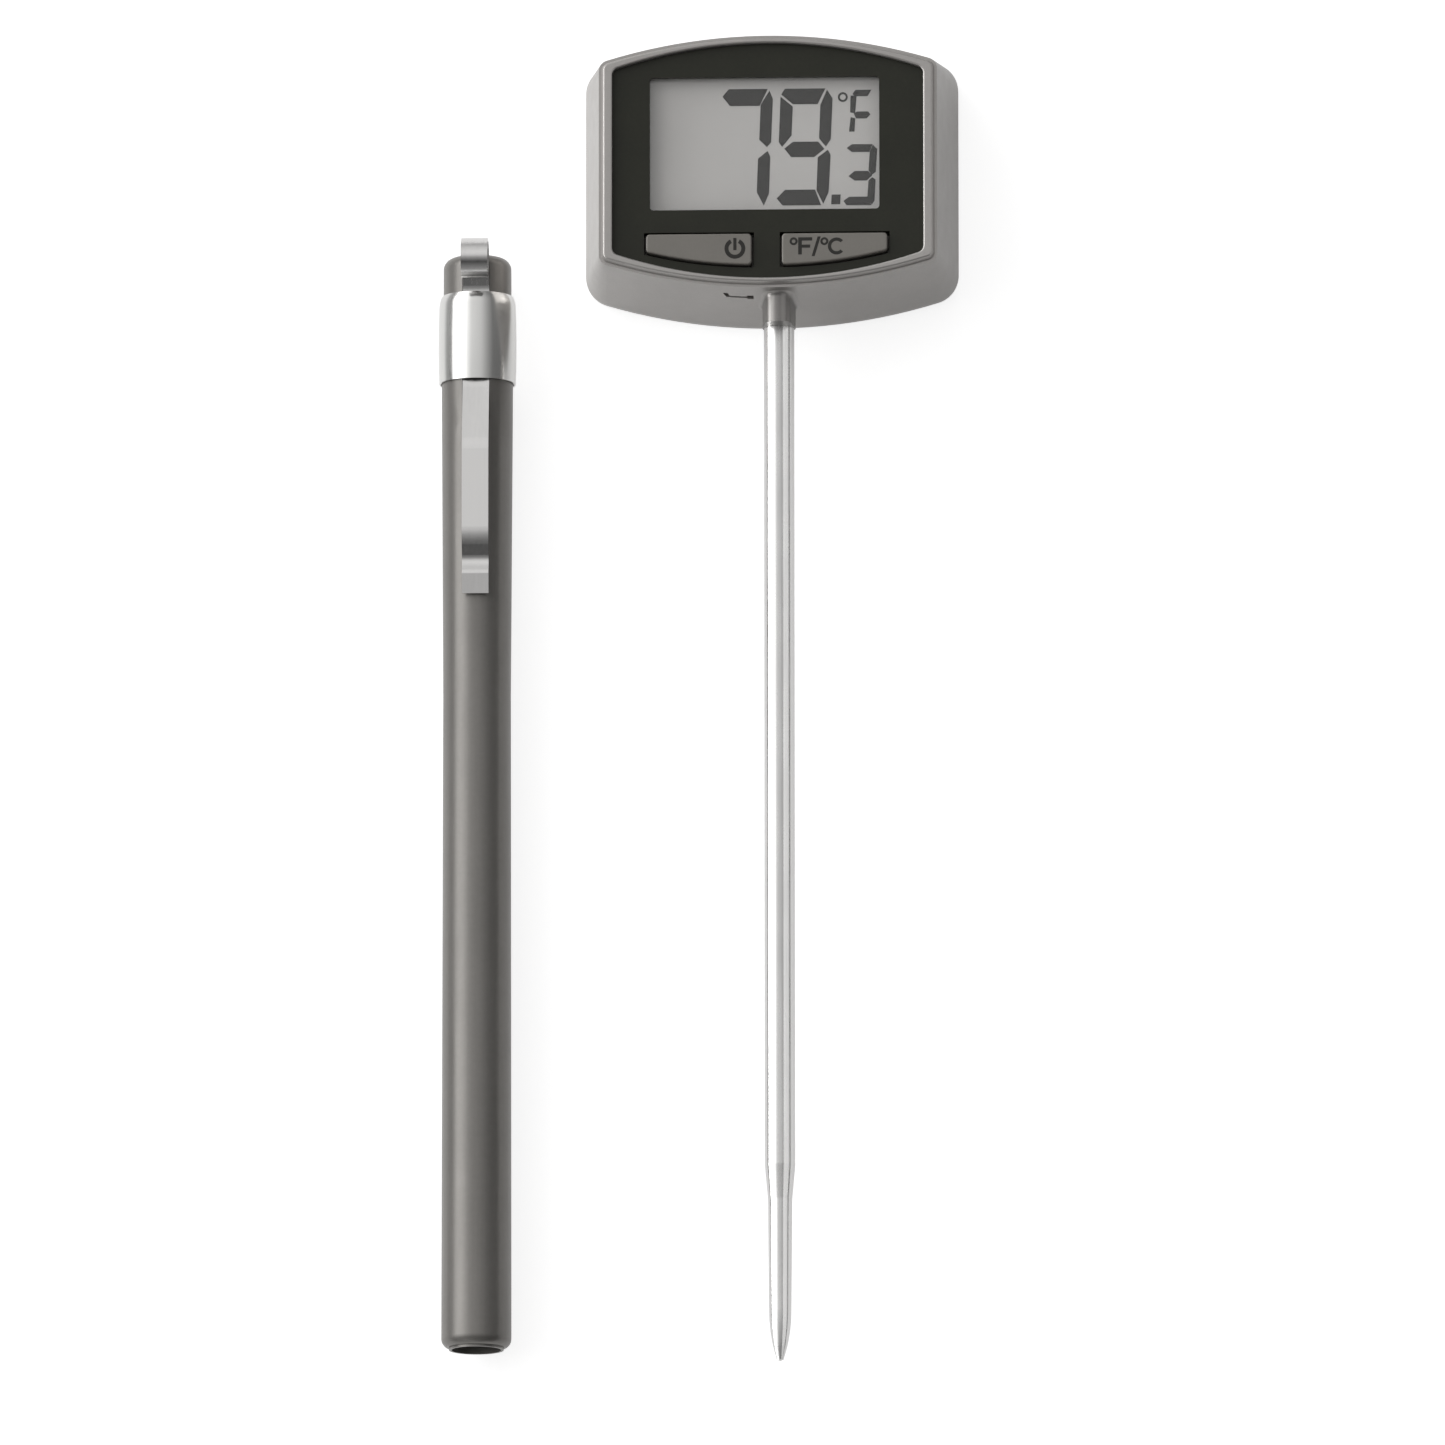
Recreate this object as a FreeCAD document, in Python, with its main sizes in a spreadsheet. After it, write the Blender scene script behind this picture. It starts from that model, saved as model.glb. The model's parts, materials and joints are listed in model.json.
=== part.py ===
import FreeCAD, Part
import math
import os
import Sketcher

# Digital probe thermometer for soil: a display head on a steel stem, and beside it the
# loose pocket sheath with its band and spring clip.
# Frame: the head lies on its back, +Z out of the display, -Y towards the stem's point.
# The origin is the centre of the head's flat back.  Millimetres throughout.

SIZES = {
    # head outline at the parting line, and how it narrows to the front
    "head_width": 49.2,
    "head_height": 38.5,
    "head_arc": 75.0,
    "head_corner": 3.8,
    "head_depth": 18.4,
    "side_inset": 2.35,
    "shell_wall": 1.6,
    "cavity_corner": 1.2,
    # raised bead round the display panel
    "rim_height": 1.1,
    "rim_groove": 0.35,
    "rim_lean": 0.3,
    "rim_side": 1.45,
    "rim_end": 0.8,
    "rim_round": 0.24,
    # black display panel
    "panel_arc": 62.0,
    "panel_corner": 1.0,
    "panel_recess": 0.9,
    "panel_thickness": 1.6,
    "panel_gap": 0.04,
    "ledge_width": 0.6,
    "ledge_thickness": 1.0,
    # display opening, window and liquid crystal cell
    "view_margin_left": 4.91,
    "view_margin_right": 5.79,
    "view_margin_top": 4.44,
    "view_margin_foot": 9.26,
    "view_corner": 0.5,
    "window_lap": 0.8,
    "window_thickness": 0.8,
    "glass_thickness": 2.0,
    "glass_side": 1.4,
    "glass_top": 0.8,
    "glass_foot": 2.2,
    "glass_drop": 0.1,
    "frame_wall": 0.7,
    "frame_step": 0.8,
    "frame_drop": 0.1,
    "zebra_width": 1.6,
    "zebra_margin": 2.0,
    # circuit board and what it carries
    "board_drop": 4.6,
    "board_thickness": 1.2,
    "board_gap": 0.3,
    "board_margin_top": 5.05,
    "board_margin_foot": 3.15,
    "board_corner": 3.5,
    "board_notch": 8.0,
    "board_notch_gap": 0.1,
    "ear_margin": 1.2,
    "ear_height": 5.0,
    "board_post_gap": 0.32,
    "board_post_radius": 1.4,
    "board_screw_radius": 0.7,
    "board_screw_head": 1.3,
    "chip_radius": 3.6,
    "chip_height": 1.1,
    "chip_margin": 4.8,
    "crystal_radius": 1.0,
    "crystal_length": 6.0,
    "crystal_margin": 5.0,
    # push buttons and the switches under them
    "button_margin_side": 4.6,
    "button_gap": 4.0,
    "button_shift": -0.14,
    "button_margin_top": 3.34,
    "button_margin_foot": 1.79,
    "button_fall": 1.81,
    "button_arc": 60.0,
    "button_corner": 0.5,
    "button_round": 0.22,
    "button_proud": 0.7,
    "button_clearance": 0.3,
    "button_travel": 0.5,
    "flange_lap": 0.4,
    "flange_thickness": 0.7,
    "flange_gap": 0.1,
    "switch_size": 4.2,
    "switch_height": 3.1,
    "switch_row_margin": 3.45,
    "plunger_radius": 1.5,
    "plunger_length": 1.7,
    "plunger_proud": 0.7,
    "plunger_clearance": 0.08,
    # back cover
    "back_depth": 2.6,
    "back_plate": 2.0,
    "back_round": 1.7,
    "lip_thickness": 0.9,
    "lip_height": 1.4,
    "lip_clearance": 0.12,
    "case_post_gap": 0.7,
    "case_post_drop": 4.05,
    "case_post_radius": 2.0,
    "case_joint": 5.0,
    "case_pilot_floor": 1.9,
    "case_screw_radius": 1.0,
    "case_screw_head": 1.8,
    "case_screw_head_height": 1.3,
    "case_screw_sunk": 0.5,
    "screw_clearance": 0.15,
    "screw_bite": 0.02,
    "screw_slot_width": 0.5,
    "screw_slot_depth": 0.6,
    # coin cell, its contacts and its turning door
    "cell_radius": 5.8,
    "contact_room": 0.6,
    "cell_clearance": 0.15,
    "cell_cap_radius": 4.6,
    "cell_cap_height": 0.5,
    "cell_gap": 0.1,
    "well_wall": 0.9,
    "door_flange": 0.7,
    "door_thickness": 0.9,
    "door_sunk": 0.1,
    "door_clearance": 0.15,
    "door_seat_gap": 0.05,
    "door_hub_margin": 1.1,
    "door_hub_clearance": 0.4,
    "lug_length": 1.9,
    "lug_thickness": 0.9,
    "lug_clearance": 0.1,
    "lug_half_width": 2.2,
    "coin_slot_margin": 1.4,
    "coin_slot_width": 1.8,
    "coin_slot_depth": 1.3,
    "seal_section": 0.42,
    "seal_fit": 0.04,
    "contact_width": 2.4,
    "contact_thickness": 0.25,
    "contact_foot": 2.2,
    "leaf_reach": 2.8,
    "contact_fit": 0.05,
    "contact_low": 1.7,
    # stem, its boss on the head and its seat inside
    "stem_radius": 2.0,
    "stem_wall": 0.35,
    "stem_relief": 0.3,
    "stem_shift": 1.2,
    "stem_rise": 0.2,
    "stem_stub": 2.5,
    "stem_straight": 111.6,
    "stem_shoulder": 4.5,
    "stem_neck_radius": 1.6,
    "stem_nose_radius": 1.47,
    "stem_slim": 14.8,
    "stem_nose": 6.6,
    "stem_tip_radius": 0.45,
    "stem_fit": 0.03,
    "boss_reach": 1.85,
    "boss_wall": 0.18,
    "boss_ridge_radius": 1.7,
    "boss_ridge_rise": 3.7,
    "boss_bite": 0.22,
    "boss_blend": 0.7,
    "seat_stand": 0.64,
    "seat_bite": 0.19,
    "seat_wall": 1.1,
    "gland_depth": 1.1,
    "gland_width": 1.1,
    "collar_width": 1.7,
    "collar_length": 2.0,
    "collar_fit": 0.01,
    "saddle_width": 4.6,
    "saddle_wrap": 1.6,
    "tab_slot_length": 3.15,
    "tab_slot_width": 0.55,
    "tab_slot_depth": 0.6,
    "tab_slot_shift": 4.03,
    "tab_slot_drop": 3.75,
    "tab_pit_width": 0.85,
    "tab_pit_height": 1.3,
    "tab_pit_depth": 1.1,
    "tab_hook_width": 0.62,
    "tab_hook_run": 0.45,
    "tab_hook_rise": 1.5,
    # temperature sensor in the point
    "bead_radius": 0.8,
    "bead_length": 2.6,
    "bead_back": 6.4,
    "lead_radius": 0.22,
    "lead_spread": 0.4,
    "lead_tail": 2.2,
    # sheath
    "sheath_gap": 9.65,
    "sheath_top": 10.3,
    "sheath_length": 145.7,
    "sheath_radius": 4.55,
    "sheath_bore": 3.25,
    "sheath_crown": 3.0,
    "sheath_shoulder": 1.5,
    "crown_step": 0.07,
    "sheath_flare": 0.16,
    "waist_drop": 58.7,
    "waist_depth": 0.09,
    "mouth_flare": 0.05,
    "mouth_round": 1.5,
    "mouth_groove_depth": 0.3,
    "mouth_groove_width": 0.25,
    "mouth_lip": 0.35,
    "band_proud": 0.6,
    "band_sheet": 0.2,
    "band_length": 11.7,
    "band_drop": 5.2,
    "band_roll": 1.5,
    "band_bulge": 0.1,
    "band_fit": 0.05,
    # spring clip
    "clip_width": 3.5,
    "clip_sheet": 0.4,
    "clip_slip": 0.024,
    "clip_bed_tail": 5.6,
    "clip_bed_gap": 0.06,
    "loop_radius": 2.25,
    "loop_drop": 1.28,
    "loop_wrap": 292.0,
    "eye_rise": 0.75,
    "eye_run": 1.2,
    "bed_lead": 0.45,
    "leg_rise": 1.18,
    "bed_run_out": 0.5,
    "leg_start": 9.0,
    "leg_end": 21.3,
    "toe_gap": 0.03,
    "toe_drop": 3.25,
    "lip_rise": 0.56,
    "lip_drop": 1.55,
    "lip_length": 2.8,
    "lip_dip": 0.29,
    "eye_bend": 1.5,
    "bed_bend": 3.0,
    "leg_bend": 6.3,
    "toe_bend": 2.5,
    "lip_bend": 0.8,
}

doc = FreeCAD.newDocument("soil_thermometer")
sheet = doc.addObject("Spreadsheet::Sheet", "Sizes")


class Size:
    """A length that carries its value and the sheet expression it comes from."""

    def __init__(self, value, text):
        self.value = float(value)
        self.text = text

    def join(self, other, sign, value):
        return Size(value, "(%s %s %s)" % (self.text, sign, other.text))

    def __add__(self, other):
        other = as_size(other)
        return self.join(other, "+", self.value + other.value)

    def __sub__(self, other):
        other = as_size(other)
        return self.join(other, "-", self.value - other.value)

    def __mul__(self, other):
        other = as_size(other)
        return self.join(other, "*", self.value * other.value)

    def __truediv__(self, other):
        other = as_size(other)
        return self.join(other, "/", self.value / other.value)

    def __neg__(self):
        return Size(-self.value, "(0 - %s)" % self.text)


def as_size(value):
    """Wrap a plain count or ratio, so that it can stand in a formula of sizes."""
    if isinstance(value, Size):
        return value
    return Size(value, "%g" % value)


def root(size):
    """The square root of a size."""
    return Size(math.sqrt(size.value), "sqrt(%s)" % size.text)


class SizeTable:
    """Reads each cell of the sheet by its alias, as a Size."""

    def __getattr__(self, alias):
        return Size(getattr(sheet, alias), "Sizes.%s" % alias)


def fill_sheet():
    """Write every driving size into the sheet, one row each."""
    for row, (alias, value) in enumerate(SIZES.items(), start=1):
        sheet.set("A%d" % row, alias)
        sheet.set("B%d" % row, str(value))
        sheet.setAlias("B%d" % row, alias)
    doc.recompute()


fill_sheet()
S = SizeTable()
ZERO = as_size(0)
TOUCH = 1e-4


# ---------------------------------------------------------------- document helpers


def new_body(name):
    """A PartDesign body labelled with the name of the piece."""
    body = doc.addObject("PartDesign::Body", name)
    body.Label = name
    return body


def origin_feature(body, role):
    """One of the body's own origin planes or axes."""
    for feature in body.Origin.OriginFeatures:
        if feature.Role == role:
            return feature
    raise ValueError(role)


def new_sketch(body, name, plane, level=ZERO):
    """A sketch on an origin plane of the body, lifted along that plane's normal."""
    sketch = body.newObject("Sketcher::SketchObject", name)
    sketch.AttachmentSupport = (origin_feature(body, plane), [""])
    sketch.MapMode = "FlatFace"
    sketch.setExpression("AttachmentOffset.Base.z", level.text)
    return sketch


def dimension(sketch, kind, size, *place):
    """Add one constraint and bind its value to the sheet."""
    index = sketch.addConstraint(Sketcher.Constraint(kind, *place, size.value))
    sketch.setExpression("Constraints[%d]" % index, size.text)


def pin(sketch, geometry, point, x, y):
    """Hold a point of the sketch at x, y; a zero puts it on the axis itself."""
    for kind, size, axis in (("DistanceX", x, -2), ("DistanceY", y, -1)):
        if size is ZERO:
            sketch.addConstraint(Sketcher.Constraint("PointOnObject", geometry, point, axis))
        else:
            dimension(sketch, kind, size, -1, 1, geometry, point)


def vector(x, y):
    """A point of a sketch plane."""
    return FreeCAD.Vector(x.value, y.value, 0)


def bulged_arc(start, end, radius, outward):
    """A circular edge from start to end, bulging to the right of its run if outward."""
    chord = end - start
    middle = (start + end) * 0.5
    side = FreeCAD.Vector(chord.y, -chord.x, 0).normalize()
    rise = radius - math.sqrt(radius ** 2 - (chord.Length / 2) ** 2)
    crown = middle + side * (rise if outward else -rise)
    return Part.Arc(start, crown, end)


def profile(sketch, points, arcs=None):
    """A closed outline through points; arcs gives (radius, outward) for some of its runs."""
    arcs = arcs or {}
    count = len(points)
    for index, start in enumerate(points):
        end = vector(*points[(index + 1) % count])
        if index in arcs:
            radius, outward = arcs[index]
            sketch.addGeometry(bulged_arc(vector(*start), end, radius.value, outward), False)
        else:
            sketch.addGeometry(Part.LineSegment(vector(*start), end), False)
    ends = arc_ends(sketch, points)
    for index in range(count):
        following = (index + 1) % count
        sketch.addConstraint(Sketcher.Constraint(
            "Coincident", index, ends[index][1], following, ends[following][0]))
    for index, (x, y) in enumerate(points):
        pin(sketch, index, ends[index][0], x, y)
    for index, (radius, _outward) in arcs.items():
        dimension(sketch, "Radius", radius, index)


def arc_ends(sketch, points):
    """For each run, which of its sketch points (1 or 2) is its start and which its end."""
    ends = []
    for index, start in enumerate(points):
        first = sketch.getPoint(index, 1)
        at_start = (first - vector(*start)).Length < TOUCH
        ends.append((1, 2) if at_start else (2, 1))
    return ends


def rectangle(sketch, left, right, low, high):
    """A rectangle between two x values and two y values."""
    profile(sketch, [(left, low), (right, low), (right, high), (left, high)])


def circle(sketch, x, y, radius):
    """A full circle."""
    index = sketch.addGeometry(
        Part.Circle(vector(x, y), FreeCAD.Vector(0, 0, 1), radius.value), False)
    pin(sketch, index, 3, x, y)
    dimension(sketch, "Radius", radius, index)


def feature(body, kind, name, sketch, **sizes):
    """A PartDesign feature made from one sketch."""
    made = body.newObject("PartDesign::" + kind, name)
    made.Profile = sketch
    for prop, size in sizes.items():
        if isinstance(size, Size):
            made.setExpression(prop, size.text)
        else:
            setattr(made, prop, size)
    return made


def pad(body, name, sketch, length, reverse=False):
    """Add material from the sketch along its normal."""
    return feature(body, "Pad", name, sketch, Length=length, Reversed=reverse)


def pocket(body, name, sketch, length, reverse=False):
    """Take material away; the cut runs against the sketch's normal unless reversed."""
    return feature(body, "Pocket", name, sketch, Length=length, Reversed=reverse)


def revolve(body, name, sketch, kind="Revolution"):
    """Turn a sketch about its own vertical axis."""
    made = feature(body, kind, name, sketch)
    made.ReferenceAxis = (sketch, ["V_Axis"])
    made.Angle = 360
    return made


def loft(body, name, sections, kind="AdditiveLoft"):
    """A straight-sided loft through sketches with the same number of edges."""
    made = feature(body, kind, name, sections[0], Ruled=True)
    made.Sections = sections[1:]
    return made


def round_edges(body, name, radius, wanted):
    """Fillet the edges of the body's present tip that the test picks."""
    doc.recompute()
    base = body.Tip
    names = []
    for index, edge in enumerate(base.Shape.Edges, start=1):
        if wanted(edge):
            names.append("Edge%d" % index)
    made = body.newObject("PartDesign::Fillet", name)
    made.Base = (base, names)
    made.setExpression("Radius", radius.text)
    return made


def lies_at(edge, axis, level):
    """True if the whole edge lies at one level along an axis (0, 1 or 2)."""
    extent = edge.BoundBox
    low = (extent.XMin, extent.YMin, extent.ZMin)[axis]
    high = (extent.XMax, extent.YMax, extent.ZMax)[axis]
    return abs(low - level) < TOUCH and abs(high - level) < TOUCH


def is_upright(edge):
    """True if the edge runs straight along Z."""
    extent = edge.BoundBox
    return extent.ZLength > TOUCH > max(extent.XLength, extent.YLength)


def place(obj, x=ZERO, y=ZERO, z=ZERO):
    """Put a piece at x, y, z by expressions."""
    for axis, size in zip("xyz", (x, y, z)):
        obj.setExpression("Placement.Base." + axis, size.text)


def primitive(kind, name, at, **sizes):
    """A Part primitive bound to the sheet."""
    made = doc.addObject("Part::" + kind, name)
    for prop, size in sizes.items():
        made.setExpression(prop, size.text)
    place(made, *at)
    return made


def box(name, low, size):
    """A block from its lowest corner and its three sides."""
    return primitive("Box", name, low, Length=size[0], Width=size[1], Height=size[2])


def cylinder(name, foot, radius, height):
    """An upright cylinder from the middle of its foot."""
    return primitive("Cylinder", name, foot, Radius=radius, Height=height)


def cut(name, base, tool):
    """The base with the tool taken away."""
    made = doc.addObject("Part::Cut", name)
    made.Base = base
    made.Tool = tool
    return made


def fuse(name, *shapes):
    """Several shapes joined into one solid."""
    made = doc.addObject("Part::MultiFuse", name)
    made.Shapes = list(shapes)
    return made


def group(name, *shapes):
    """Separate solids that share one node."""
    made = doc.addObject("Part::Compound", name)
    made.Links = list(shapes)
    return made


# ---------------------------------------------------------------- head outlines and levels


SHOULDER = S.head_depth - S.rim_height
PANEL_FRONT = S.head_depth - S.panel_recess
LEDGE_FRONT = PANEL_FRONT - S.panel_thickness
LEDGE_BACK = LEDGE_FRONT - S.ledge_thickness
WINDOW_FRONT = LEDGE_FRONT + S.window_thickness
GLASS_FRONT = LEDGE_FRONT - S.glass_drop
GLASS_BACK = GLASS_FRONT - S.glass_thickness
FRAME_FRONT = LEDGE_BACK - S.frame_drop
BOARD_FRONT = LEDGE_BACK - S.board_drop
BOARD_BACK = BOARD_FRONT - S.board_thickness


def bowed(half_width, half_height, arc, corner):
    """The four sizes of an outline with straight sides and bowed ends."""
    return half_width, half_height, arc, corner


def inset(outline, distance, corner=None):
    """The outline moved inwards all round."""
    half_width, half_height, arc, old_corner = outline
    new_corner = corner or old_corner - distance
    return half_width - distance, half_height - distance, arc - distance, new_corner


def lean(level):
    """How far the side walls have come in at a level above the parting line."""
    return S.side_inset * (level - S.back_depth) / (SHOULDER - S.back_depth)


BACK_OUTLINE = bowed(S.head_width / 2, S.head_height / 2, S.head_arc, S.head_corner)
FRONT_OUTLINE = inset(BACK_OUTLINE, S.side_inset)
RIM_OUTLINE = inset(FRONT_OUTLINE, S.rim_groove)
PANEL_OPENING = bowed(RIM_OUTLINE[0] - S.rim_side, RIM_OUTLINE[1] - S.rim_end,
                      S.panel_arc, S.panel_corner)
PANEL_OUTLINE = inset(PANEL_OPENING, S.panel_gap)
LEDGE_OUTLINE = inset(PANEL_OPENING, S.ledge_width, S.panel_corner)

VIEW_LEFT = S.view_margin_left - PANEL_OPENING[0]
VIEW_RIGHT = PANEL_OPENING[0] - S.view_margin_right
VIEW_LOW = S.view_margin_foot - PANEL_OPENING[1]
VIEW_HIGH = PANEL_OPENING[1] - S.view_margin_top
GLASS_LEFT = VIEW_LEFT - S.glass_side
GLASS_RIGHT = VIEW_RIGHT + S.glass_side
GLASS_LOW = VIEW_LOW - S.glass_foot
GLASS_HIGH = VIEW_HIGH + S.glass_top
FRAME_MARGIN = S.panel_gap + S.frame_wall

CAVITY_HALF_WIDTH = S.head_width / 2 - S.shell_wall
CAVITY_HALF_HEIGHT = S.head_height / 2 - S.shell_wall
CASE_POST_REACH = CAVITY_HALF_WIDTH - S.case_post_radius - S.case_post_gap
CASE_POST_RISE = CAVITY_HALF_HEIGHT - S.case_post_radius - S.case_post_drop
CASE_PILOT_DEPTH = LEDGE_BACK - S.case_joint - S.case_pilot_floor
BOARD_HALF_WIDTH = CASE_POST_REACH - S.case_post_radius - S.board_gap
BOARD_POST_REACH = FRAME_MARGIN - GLASS_LEFT + S.board_post_gap + S.board_post_radius


def corner_height(half_width, half_height, arc, corner):
    """Height of the centre of a corner arc that touches both the side and the bowed end."""
    reach = half_width - corner
    run = arc - corner
    return half_height - arc + root(run * run - reach * reach)


def bowed_outline(sketch, outline):
    """Draw the outline: sides, corners and bowed ends, each tangent to the next."""
    half_width, half_height, arc, corner = outline
    side = corner_height(*outline)
    a, b = half_width.value, half_height.value
    big, small, c = arc.value, corner.value, side.value
    turn = math.atan2(c - (b - big), a - small)
    up = FreeCAD.Vector(0, 0, 1)

    def arc_edge(x, y, radius, start, end):
        centre = Part.Circle(FreeCAD.Vector(x, y, 0), up, radius)
        return Part.ArcOfCircle(centre, start, end)

    def side_edge(x, start, end):
        return Part.LineSegment(FreeCAD.Vector(x, start, 0), FreeCAD.Vector(x, end, 0))

    edges = [
        side_edge(a, -c, c),
        arc_edge(a - small, c, small, 0, turn),
        arc_edge(0, b - big, big, turn, math.pi - turn),
        arc_edge(small - a, c, small, math.pi - turn, math.pi),
        side_edge(-a, c, -c),
        arc_edge(small - a, -c, small, math.pi, math.pi + turn),
        arc_edge(0, big - b, big, math.pi + turn, 2 * math.pi - turn),
        arc_edge(a - small, -c, small, 2 * math.pi - turn, 2 * math.pi),
    ]
    first = sketch.GeometryCount
    sketch.addGeometry(edges, False)
    right, left = first, first + 4
    top, bottom = first + 2, first + 6
    for index in range(8):
        following = first + (index + 1) % 8
        sketch.addConstraint(Sketcher.Constraint("Tangent", first + index, 2, following, 1))
    sketch.addConstraint(Sketcher.Constraint("Vertical", right))
    sketch.addConstraint(Sketcher.Constraint("Vertical", left))
    dimension(sketch, "DistanceX", half_width, -1, 1, right, 1)
    dimension(sketch, "DistanceX", -half_width, -1, 1, left, 1)
    for end, level in ((top, half_height - arc), (bottom, arc - half_height)):
        sketch.addConstraint(Sketcher.Constraint("PointOnObject", end, 3, -2))
        dimension(sketch, "DistanceY", level, -1, 1, end, 3)
        dimension(sketch, "Radius", arc, end)
    for index in (1, 3, 5, 7):
        dimension(sketch, "Radius", corner, first + index)


def outline_sketch(body, name, outline, level):
    """A head outline lying at a level above the back."""
    sketch = new_sketch(body, name, "XY_Plane", level)
    bowed_outline(sketch, outline)
    return sketch


def four_corners(sketch, x, y, radius):
    """Four circles, one towards each corner of the head."""
    for across in (x, -x):
        for along in (y, -y):
            circle(sketch, across, along, radius)


# ---------------------------------------------------------------- front housing


def front_housing():
    """Tapered shell with the display bead, screw posts and the boss that holds the stem."""
    body = new_body("front_housing")
    loft(body, "OuterShell", [
        outline_sketch(body, "PartingOutline", BACK_OUTLINE, S.back_depth),
        outline_sketch(body, "ShoulderOutline", FRONT_OUTLINE, SHOULDER)])
    loft(body, "Bead", [
        outline_sketch(body, "BeadFoot", RIM_OUTLINE, SHOULDER),
        outline_sketch(body, "BeadCrown", inset(RIM_OUTLINE, S.rim_lean), S.head_depth)])
    hollow_housing(body)
    opening = outline_sketch(body, "PanelSeat", PANEL_OPENING, S.head_depth)
    pocket(body, "PanelRecess", opening, S.head_depth - LEDGE_FRONT)
    round_edges(body, "BeadRound", S.rim_round,
                lambda edge: lies_at(edge, 2, S.head_depth.value))
    housing_posts(body)
    stem_boss(body)
    ledge = outline_sketch(body, "LedgeOpening", LEDGE_OUTLINE, LEDGE_FRONT)
    pocket(body, "ThroughOpening", ledge, S.ledge_thickness)
    housing_holes(body)
    return body


def hollow_housing(body):
    """Take out the inside of the shell, up to the back of the panel ledge."""
    loft(body, "Cavity", [
        outline_sketch(body, "CavityFoot",
                       inset(BACK_OUTLINE, S.shell_wall, S.cavity_corner), S.back_depth),
        outline_sketch(body, "CavityCrown",
                       inset(BACK_OUTLINE, S.shell_wall + lean(LEDGE_BACK), S.cavity_corner),
                       LEDGE_BACK)],
        kind="SubtractiveLoft")


def housing_posts(body):
    """Posts for the four case screws, from the ledge down to the cover's own posts."""
    sketch = new_sketch(body, "CasePostCircles", "XY_Plane", S.case_joint)
    four_corners(sketch, CASE_POST_REACH, CASE_POST_RISE, S.case_post_radius)
    pad(body, "CasePosts", sketch, LEDGE_BACK - S.case_joint)
    sketch = new_sketch(body, "BoardPostCircles", "XY_Plane", BOARD_FRONT)
    for across in (BOARD_POST_REACH, -BOARD_POST_REACH):
        circle(sketch, across, ZERO, S.board_post_radius)
    pad(body, "BoardPosts", sketch, S.board_drop)


STEM_LEVEL = BOARD_FRONT + S.stem_rise
RIDGE_LEVEL = STEM_LEVEL + S.boss_ridge_rise
BOSS_RADIUS = S.stem_radius + S.boss_wall
BOSS_ROOT = S.head_height / 2 - lean(RIDGE_LEVEL + S.boss_ridge_radius) - S.boss_bite
BOSS_END = S.head_height / 2 + S.boss_reach
STEM_ROOT_RADIUS = S.stem_radius - S.stem_relief
GLAND_RADIUS = STEM_ROOT_RADIUS + S.gland_width
COLLAR_RADIUS = STEM_ROOT_RADIUS + S.collar_width
SEAT_RADIUS = GLAND_RADIUS + S.seat_wall
SEAT_ROOT = CAVITY_HALF_HEIGHT - lean(STEM_LEVEL - SEAT_RADIUS) + S.seat_bite
SEAT_DEPTH = CAVITY_HALF_HEIGHT - lean(STEM_LEVEL + COLLAR_RADIUS) - S.seat_stand
STEM_INNER_END = SEAT_DEPTH - S.stem_stub


def ridge_outline(sketch):
    """The boss's section: a round the stem's size drawn out to a narrower ridge in front."""
    low, high = STEM_LEVEL, RIDGE_LEVEL
    wide, narrow = BOSS_RADIUS, S.boss_ridge_radius
    tilt = math.asin((wide - narrow).value / (high - low).value)
    centre = S.stem_shift.value
    up = FreeCAD.Vector(0, 0, 1)
    side = FreeCAD.Vector(math.cos(tilt), math.sin(tilt), 0)
    other = FreeCAD.Vector(-math.cos(tilt), math.sin(tilt), 0)
    foot = FreeCAD.Vector(centre, low.value, 0)
    crown = FreeCAD.Vector(centre, high.value, 0)
    sketch.addGeometry([
        Part.LineSegment(foot + side * wide.value, crown + side * narrow.value),
        Part.ArcOfCircle(Part.Circle(crown, up, narrow.value), tilt, math.pi - tilt),
        Part.LineSegment(crown + other * narrow.value, foot + other * wide.value),
        Part.ArcOfCircle(Part.Circle(foot, up, wide.value), math.pi - tilt, 2 * math.pi + tilt),
    ], False)
    for index in range(4):
        sketch.addConstraint(Sketcher.Constraint("Tangent", index, 2, (index + 1) % 4, 1))
    pin(sketch, 1, 3, S.stem_shift, high)
    pin(sketch, 3, 3, S.stem_shift, low)
    dimension(sketch, "Radius", narrow, 1)
    dimension(sketch, "Radius", wide, 3)


def is_boss_foot(edge):
    """True for the edges where the boss stands on the housing's lower side."""
    extent = edge.BoundBox
    middle = S.stem_shift.value
    across = max(extent.XMax - middle, middle - extent.XMin)
    off_end = extent.YMin > TOUCH - BOSS_END.value
    return across < BOSS_RADIUS.value + TOUCH and off_end and extent.YMax < -BOSS_ROOT.value


def stem_boss(body):
    """The ridge-backed boss outside, the seal gland inside and the bore through both."""
    sketch = new_sketch(body, "BossSection", "XZ_Plane", BOSS_ROOT)
    ridge_outline(sketch)
    pad(body, "Boss", sketch, BOSS_END - BOSS_ROOT)
    round_edges(body, "BossBlend", S.boss_blend, is_boss_foot)
    sketch = new_sketch(body, "SeatCircle", "XZ_Plane", SEAT_ROOT)
    circle(sketch, S.stem_shift, STEM_LEVEL, SEAT_RADIUS)
    pad(body, "Seat", sketch, SEAT_ROOT - SEAT_DEPTH, reverse=True)
    sketch = new_sketch(body, "BoreCircle", "XZ_Plane", BOSS_END)
    circle(sketch, S.stem_shift, STEM_LEVEL, STEM_ROOT_RADIUS + S.stem_fit)
    pocket(body, "StemBore", sketch, BOSS_END - SEAT_DEPTH)
    sketch = new_sketch(body, "GlandCircle", "XZ_Plane", SEAT_DEPTH + S.gland_depth)
    circle(sketch, S.stem_shift, STEM_LEVEL, GLAND_RADIUS)
    pocket(body, "Gland", sketch, S.gland_depth)


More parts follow.
